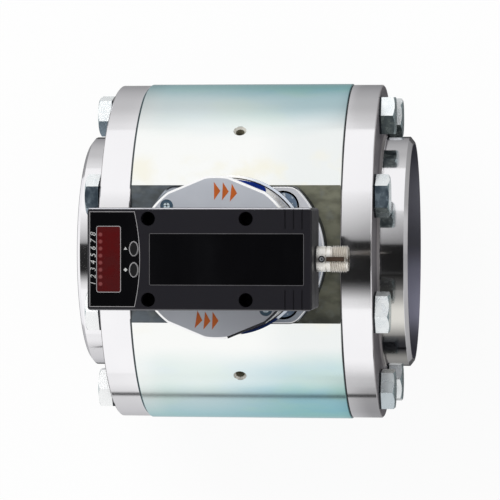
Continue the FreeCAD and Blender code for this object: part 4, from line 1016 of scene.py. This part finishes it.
class METER_OT_connector(bpy.types.Operator):
    """Make the threaded plug connector and finish its insert, pins and nut"""

    bl_idname = "meter.connector"
    bl_label = "Plug connector"

    def execute(self, context):
        look, trim = context.scene.meter_finish, context.scene.meter_trim
        material = connector_finish(look, trim)
        bm = combined(context, self.shell(trim), self.thread(trim), self.recesses(trim))
        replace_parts(piece("threaded_shell", bm, material), "connector_shell")
        dress(material, "connector_nut", "sensor_board_pillars")
        dress(moulded_finish("connector_plastic", tone(38, 37, 36), 0.45), "connector_insert")
        dress(bright_metal_finish("contact_gold", look.gold, 0.2), "connector_pins")
        dress(set_screw_finish(look), "connector_set_screw")
        return {"FINISHED"}

    def shell(self, trim):
        """Turned shell with its collar, fine groove and thread root."""
        foot, end = GASKET_HIGH.x, SHELL_HIGH.x
        thread = end - trim.thread_length
        groove, cut = thread - trim.collar_band, trim.collar_groove
        collar, tail, bore = trim.collar_size / 2, trim.tail_size / 2, INSERT_HIGH.y
        root = PLUG_RADIUS - trim.thread_depth
        return swept([(SHELL_LOW.x, bore), (SHELL_LOW.x, tail), (foot, tail), (foot, collar - EDGE_BREAK),
                      (foot + EDGE_BREAK, collar), (groove - cut, collar), (groove, collar - cut),
                      (groove + cut, collar), (thread, collar), (thread, root), (end - EDGE_BREAK, root),
                      (end, root - EDGE_BREAK), (end, bore)])

    def thread(self, trim):
        """Helical ridge of the thread, sunk a little into its root."""
        pitch = trim.thread_pitch
        root = PLUG_RADIUS - trim.thread_depth * RIDGE_SINK
        start = SHELL_HIGH.x - trim.thread_length + pitch / 2
        ridge = ((-RIDGE_FOOT, root), (-RIDGE_CREST, PLUG_RADIUS), (RIDGE_CREST, PLUG_RADIUS),
                 (RIDGE_FOOT, root))
        section = [(start + share * pitch, radius) for share, radius in ridge]
        turns = math.floor((trim.thread_length - pitch) / pitch)
        return swept(section, turns, pitch, THREAD_STEPS, closed=False)

    def recesses(self, trim):
        """Keyway along the thread and the hole of the small screw."""
        crest, end = SHELL_HIGH.z, SHELL_HIGH.x
        half = trim.slot_width / 2
        groove = end - trim.thread_length - trim.collar_band + trim.collar_groove
        keyway = cutter(Vector((groove, -half, crest - trim.slot_depth)),
                        Vector((end - trim.slot_end, half, crest + MM)))
        hole = bmesh.new()
        radius = SCREW_RADIUS + 0.1 * MM
        made = bmesh.ops.create_cone(hole, cap_ends=True, segments=THREAD_STEPS, radius1=radius,
                                     radius2=radius, depth=crest + MM - SCREW_LOW.z)["verts"]
        bmesh.ops.translate(hole, verts=made, vec=(SCREW_X, 0, (crest + MM + SCREW_LOW.z) / 2))
        return [keyway, hole]


def stage_material(name, build):
    """Material of a card or the floor, whose surface a function builds."""
    material = bpy.data.materials.new(name)
    material.use_nodes = True
    nodes = Nodes(material.node_tree)
    nodes.tree.nodes.clear()
    nodes.add("ShaderNodeOutputMaterial", {"Surface": build(nodes)})
    return material


def seen_directly(nodes):
    """1 for camera, glossy and transmission rays, 0 for the light that falls on the object."""
    path = nodes.add("ShaderNodeLightPath").outputs
    return nodes.either(path["Is Camera Ray"], path["Is Glossy Ray"], path["Is Transmission Ray"])


def sheet(name, low, high, build):
    """Flat sheet of the stage between two corners, level or standing across X."""
    bm = bmesh.new()
    size = high - low
    made = bmesh.ops.create_grid(bm, x_segments=1, y_segments=1, size=0.5)["verts"]
    if size.x == 0:
        bmesh.ops.rotate(bm, verts=made, matrix=Matrix.Rotation(math.pi / 2, 3, "Y"))
    bmesh.ops.scale(bm, verts=made, vec=size)
    bmesh.ops.translate(bm, verts=made, vec=(low + high) / 2)
    made = mesh_object(name, bm, stage_material(name, build))
    return made


def card(name, low, high, build):
    """Sheet that shows in reflections alone."""
    made = sheet(name, Vector(low), Vector(high), build)
    for ray in ("camera", "diffuse", "shadow", "transmission", "volume_scatter"):
        setattr(made, "visible_" + ray, False)


def level_card(name, z, along, across, lean=0.0, spread=0.0):
    """Card overhead or on the floor: shades along Y, times shades across X, which fan out with Y."""
    def build(nodes):
        place = nodes.add("ShaderNodeTexCoord").outputs["Object"]
        x, y, _ = nodes.add("ShaderNodeSeparateXYZ", {0: place}).outputs
        fan = nodes.math("DIVIDE", nodes.math("MULTIPLY_ADD", y, lean, x),
                         nodes.math("MULTIPLY_ADD", y, spread, 1.0))
        shade = nodes.mix(1.0, nodes.ramp(y, along), nodes.ramp(fan, across), "MULTIPLY")
        return nodes.add("ShaderNodeEmission", {"Color": shade}).outputs[0]
    card(name, (across[0][0], along[0][0], z), (across[-1][0], along[-1][0], z), build)


class METER_OT_stage(bpy.types.Operator):
    """Set the camera, floor, soft light and the cards that show in the metal"""

    bl_idname = "meter.stage"
    bl_label = "Stage"

    def execute(self, context):
        stage = context.scene.meter_stage
        self.set_camera(context.scene, stage)
        self.set_world(context.scene, stage)
        self.set_floor(stage)
        self.set_cards()
        self.set_lamps(context.scene, stage)
        context.scene.view_settings.view_transform = "Standard"
        return {"FINISHED"}

    def set_camera(self, scene, stage):
        """Camera at the photograph's viewing angle."""
        away = Vector((math.sin(stage.yaw) * math.cos(stage.pitch), math.sin(stage.pitch),
                       math.cos(stage.yaw) * math.cos(stage.pitch)))
        right = Vector((0, 1, 0)).cross(away).normalized()
        turn = Matrix((right, away.cross(right), away)).transposed().to_4x4()
        lens = bpy.data.cameras.new("camera")
        lens.lens = stage.lens
        lens.sensor_width = SENSOR_WIDTH
        lens.clip_end = FAR
        camera = bpy.data.objects.new("camera", lens)
        camera.matrix_world = Matrix.Translation(Vector(stage.aim) + away * stage.distance) @ turn
        scene.collection.objects.link(camera)
        scene.camera = camera

    def set_world(self, scene, stage):
        """White surroundings, at a plain level on the object."""
        scene.world = bpy.data.worlds.new("studio")
        scene.world.use_nodes = True
        nodes = Nodes(scene.world.node_tree)
        background = nodes.tree.nodes["Background"].inputs
        nodes.feed(background["Color"], (1, 1, 1))
        nodes.feed(background["Strength"], nodes.pick(seen_directly(nodes), stage.fill, 1.0))

    def set_floor(self, stage):
        """White floor that keeps a share of the shadow."""
        def build(nodes):
            matt = nodes.add("ShaderNodeBsdfDiffuse", {"Color": FLOOR_SHADE}).outputs[0]
            glow = nodes.add("ShaderNodeEmission").outputs[0]
            share = nodes.pick(seen_directly(nodes), 0.0, 1.0 - stage.shadow_share)
            return nodes.add("ShaderNodeMixShader", {0: share, 1: matt, 2: glow}).outputs[0]
        half = stage.floor_size / 2
        level = CAD_BOX[0][2] - stage.floor_drop
        sheet("floor", Vector((-half, -half, level)), Vector((half, half, level)), build)

    def set_cards(self):
        """Dark and white cards overhead, on the floor and past the outlet, for the bands in the metal; the
        floor cards' gray near the object and the contact card are a painted shadow of the object on the
        floor.
        """
        ground = CAD_BOX[0][2] + CARD_LAYER
        level_card("overhead_card", 1.25,
                   [(-0.95, 0.90), (-0.75, 0.76), (-0.60, 0.37), (-0.50, 0.12), (-0.42, 0.02), (0.16, 0.02),
                    (0.185, 0.35), (0.287, 0.50), (0.48, 0.67), (0.68, 0.80), (1.1, 1.0)],
                   [(-0.60, 1.0), (0.038, 1.0), (0.060, 0.55), (0.12, 0.45), (0.22, 0.2), (0.60, 0.2)])
        # Floor cards: gray near the object as a painted shadow on the floor, seen only in reflections
        level_card("floor_card_left", ground,
                   [(0.0, 0.40), (0.10, 0.50), (0.154, 0.66), (0.22, 0.74), (0.31, 0.74), (0.48, 0.88),
                    (0.94, 1.0), (2.5, 1.0)],
                   [(-0.60, 0.80), (0.036, 0.80), (0.040, 1.0), (0.134, 1.0), (0.137, 0.66), (0.5, 0.62),
                    (0.62, 1.0), (1.1, 1.0)], CARD_LEAN, CARD_SPREAD)
        level_card("floor_card_right", ground,
                   [(-3.0, 0.94), (-1.0, 1.0), (-0.6, 1.0), (-0.45, 0.92), (-0.36, 0.84), (-0.345, 0.10),
                    (-0.305, 0.10), (-0.295, 0.81), (-0.14, 0.80), (-0.09, 0.66), (0.0, 0.60)],
                   [(-0.80, 0.92), (0.036, 0.92), (0.040, 1.0), (0.134, 1.0), (0.137, 0.56), (1.1, 0.56)],
                   -CARD_LEAN, -CARD_SPREAD)
        # The contact card is a dark sheet under the object: a painted shadow on the floor that only
        # reflections show
        for name, along, shade, across in (("contact_shadow_card", (-0.09, 0.09), 0.10, (-0.02, 0.185)),
                                           ("inlet_card", (-0.60, 0.60), 1.0, (-0.60, -0.12)),
                                           ("stub_card", (-0.36, -0.29), 0.75, (-0.12, -0.044))):
            level_card(name, ground + CARD_LAYER, [(y, shade) for y in along], [(x, 1.0) for x in across])
        card("outlet_card", (1.0, -0.8, 0.14), (1.0, 0.8, 0.42),
             lambda nodes: nodes.add("ShaderNodeEmission", {"Color": CARD_DARK}).outputs[0])

    def set_lamps(self, scene, stage):
        """Two soft lamps, one on each side of the camera."""
        for name, power, spot in (("key_lamp", stage.key_power, (-0.35, 0.75, 0.95)),
                                  ("side_lamp", stage.side_power, (0.45, -0.65, 1.05))):
            light = bpy.data.lights.new(name, "AREA")
            light.energy = power
            light.size = stage.lamp_size
            lamp = bpy.data.objects.new(name, light)
            lamp.location = spot
            lamp.rotation_euler = Vector(spot).to_track_quat("Z", "Y").to_euler()
            lamp.visible_glossy = False
            lamp.visible_camera = False
            scene.collection.objects.link(lamp)


OPERATORS = (METER_OT_pipe, METER_OT_sensor, METER_OT_arrows, METER_OT_housing, METER_OT_panel_lines,
             METER_OT_numbers, METER_OT_marks, METER_OT_connector, METER_OT_stage)


class METER_PT_looks(bpy.types.Panel):
    """Lists the pieces of the flow meter's looks"""

    bl_idname = "METER_PT_looks"
    bl_label = "Flow meter"
    bl_space_type = "VIEW_3D"
    bl_region_type = "UI"
    bl_category = "Flow meter"

    def draw(self, context):
        for operator in OPERATORS:
            self.layout.operator(operator.bl_idname)


GROUPS = {"meter_finish": MeterFinish, "meter_trim": MeterTrim, "meter_stage": MeterStage}


def register():
    """Registers the settings, the operators and the panel."""
    for name, group in GROUPS.items():
        bpy.utils.register_class(group)
        setattr(bpy.types.Scene, name, PointerProperty(type=group))
    for item in (*OPERATORS, METER_PT_looks):
        bpy.utils.register_class(item)


def unregister():
    """Takes the panel, the operators and the settings away again."""
    for item in (METER_PT_looks, *reversed(OPERATORS)):
        bpy.utils.unregister_class(item)
    for name, group in GROUPS.items():
        delattr(bpy.types.Scene, name)
        bpy.utils.unregister_class(group)


def main():
    """Builds the looks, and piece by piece."""
    register()
    bpy.ops.meter.pipe()
    bpy.ops.meter.sensor()
    bpy.ops.meter.arrows()
    bpy.ops.meter.housing()
    bpy.ops.meter.panel_lines()
    bpy.ops.meter.numbers()
    bpy.ops.meter.marks()
    bpy.ops.meter.connector()
    bpy.ops.meter.stage()


if __name__ == "__main__":
    main()
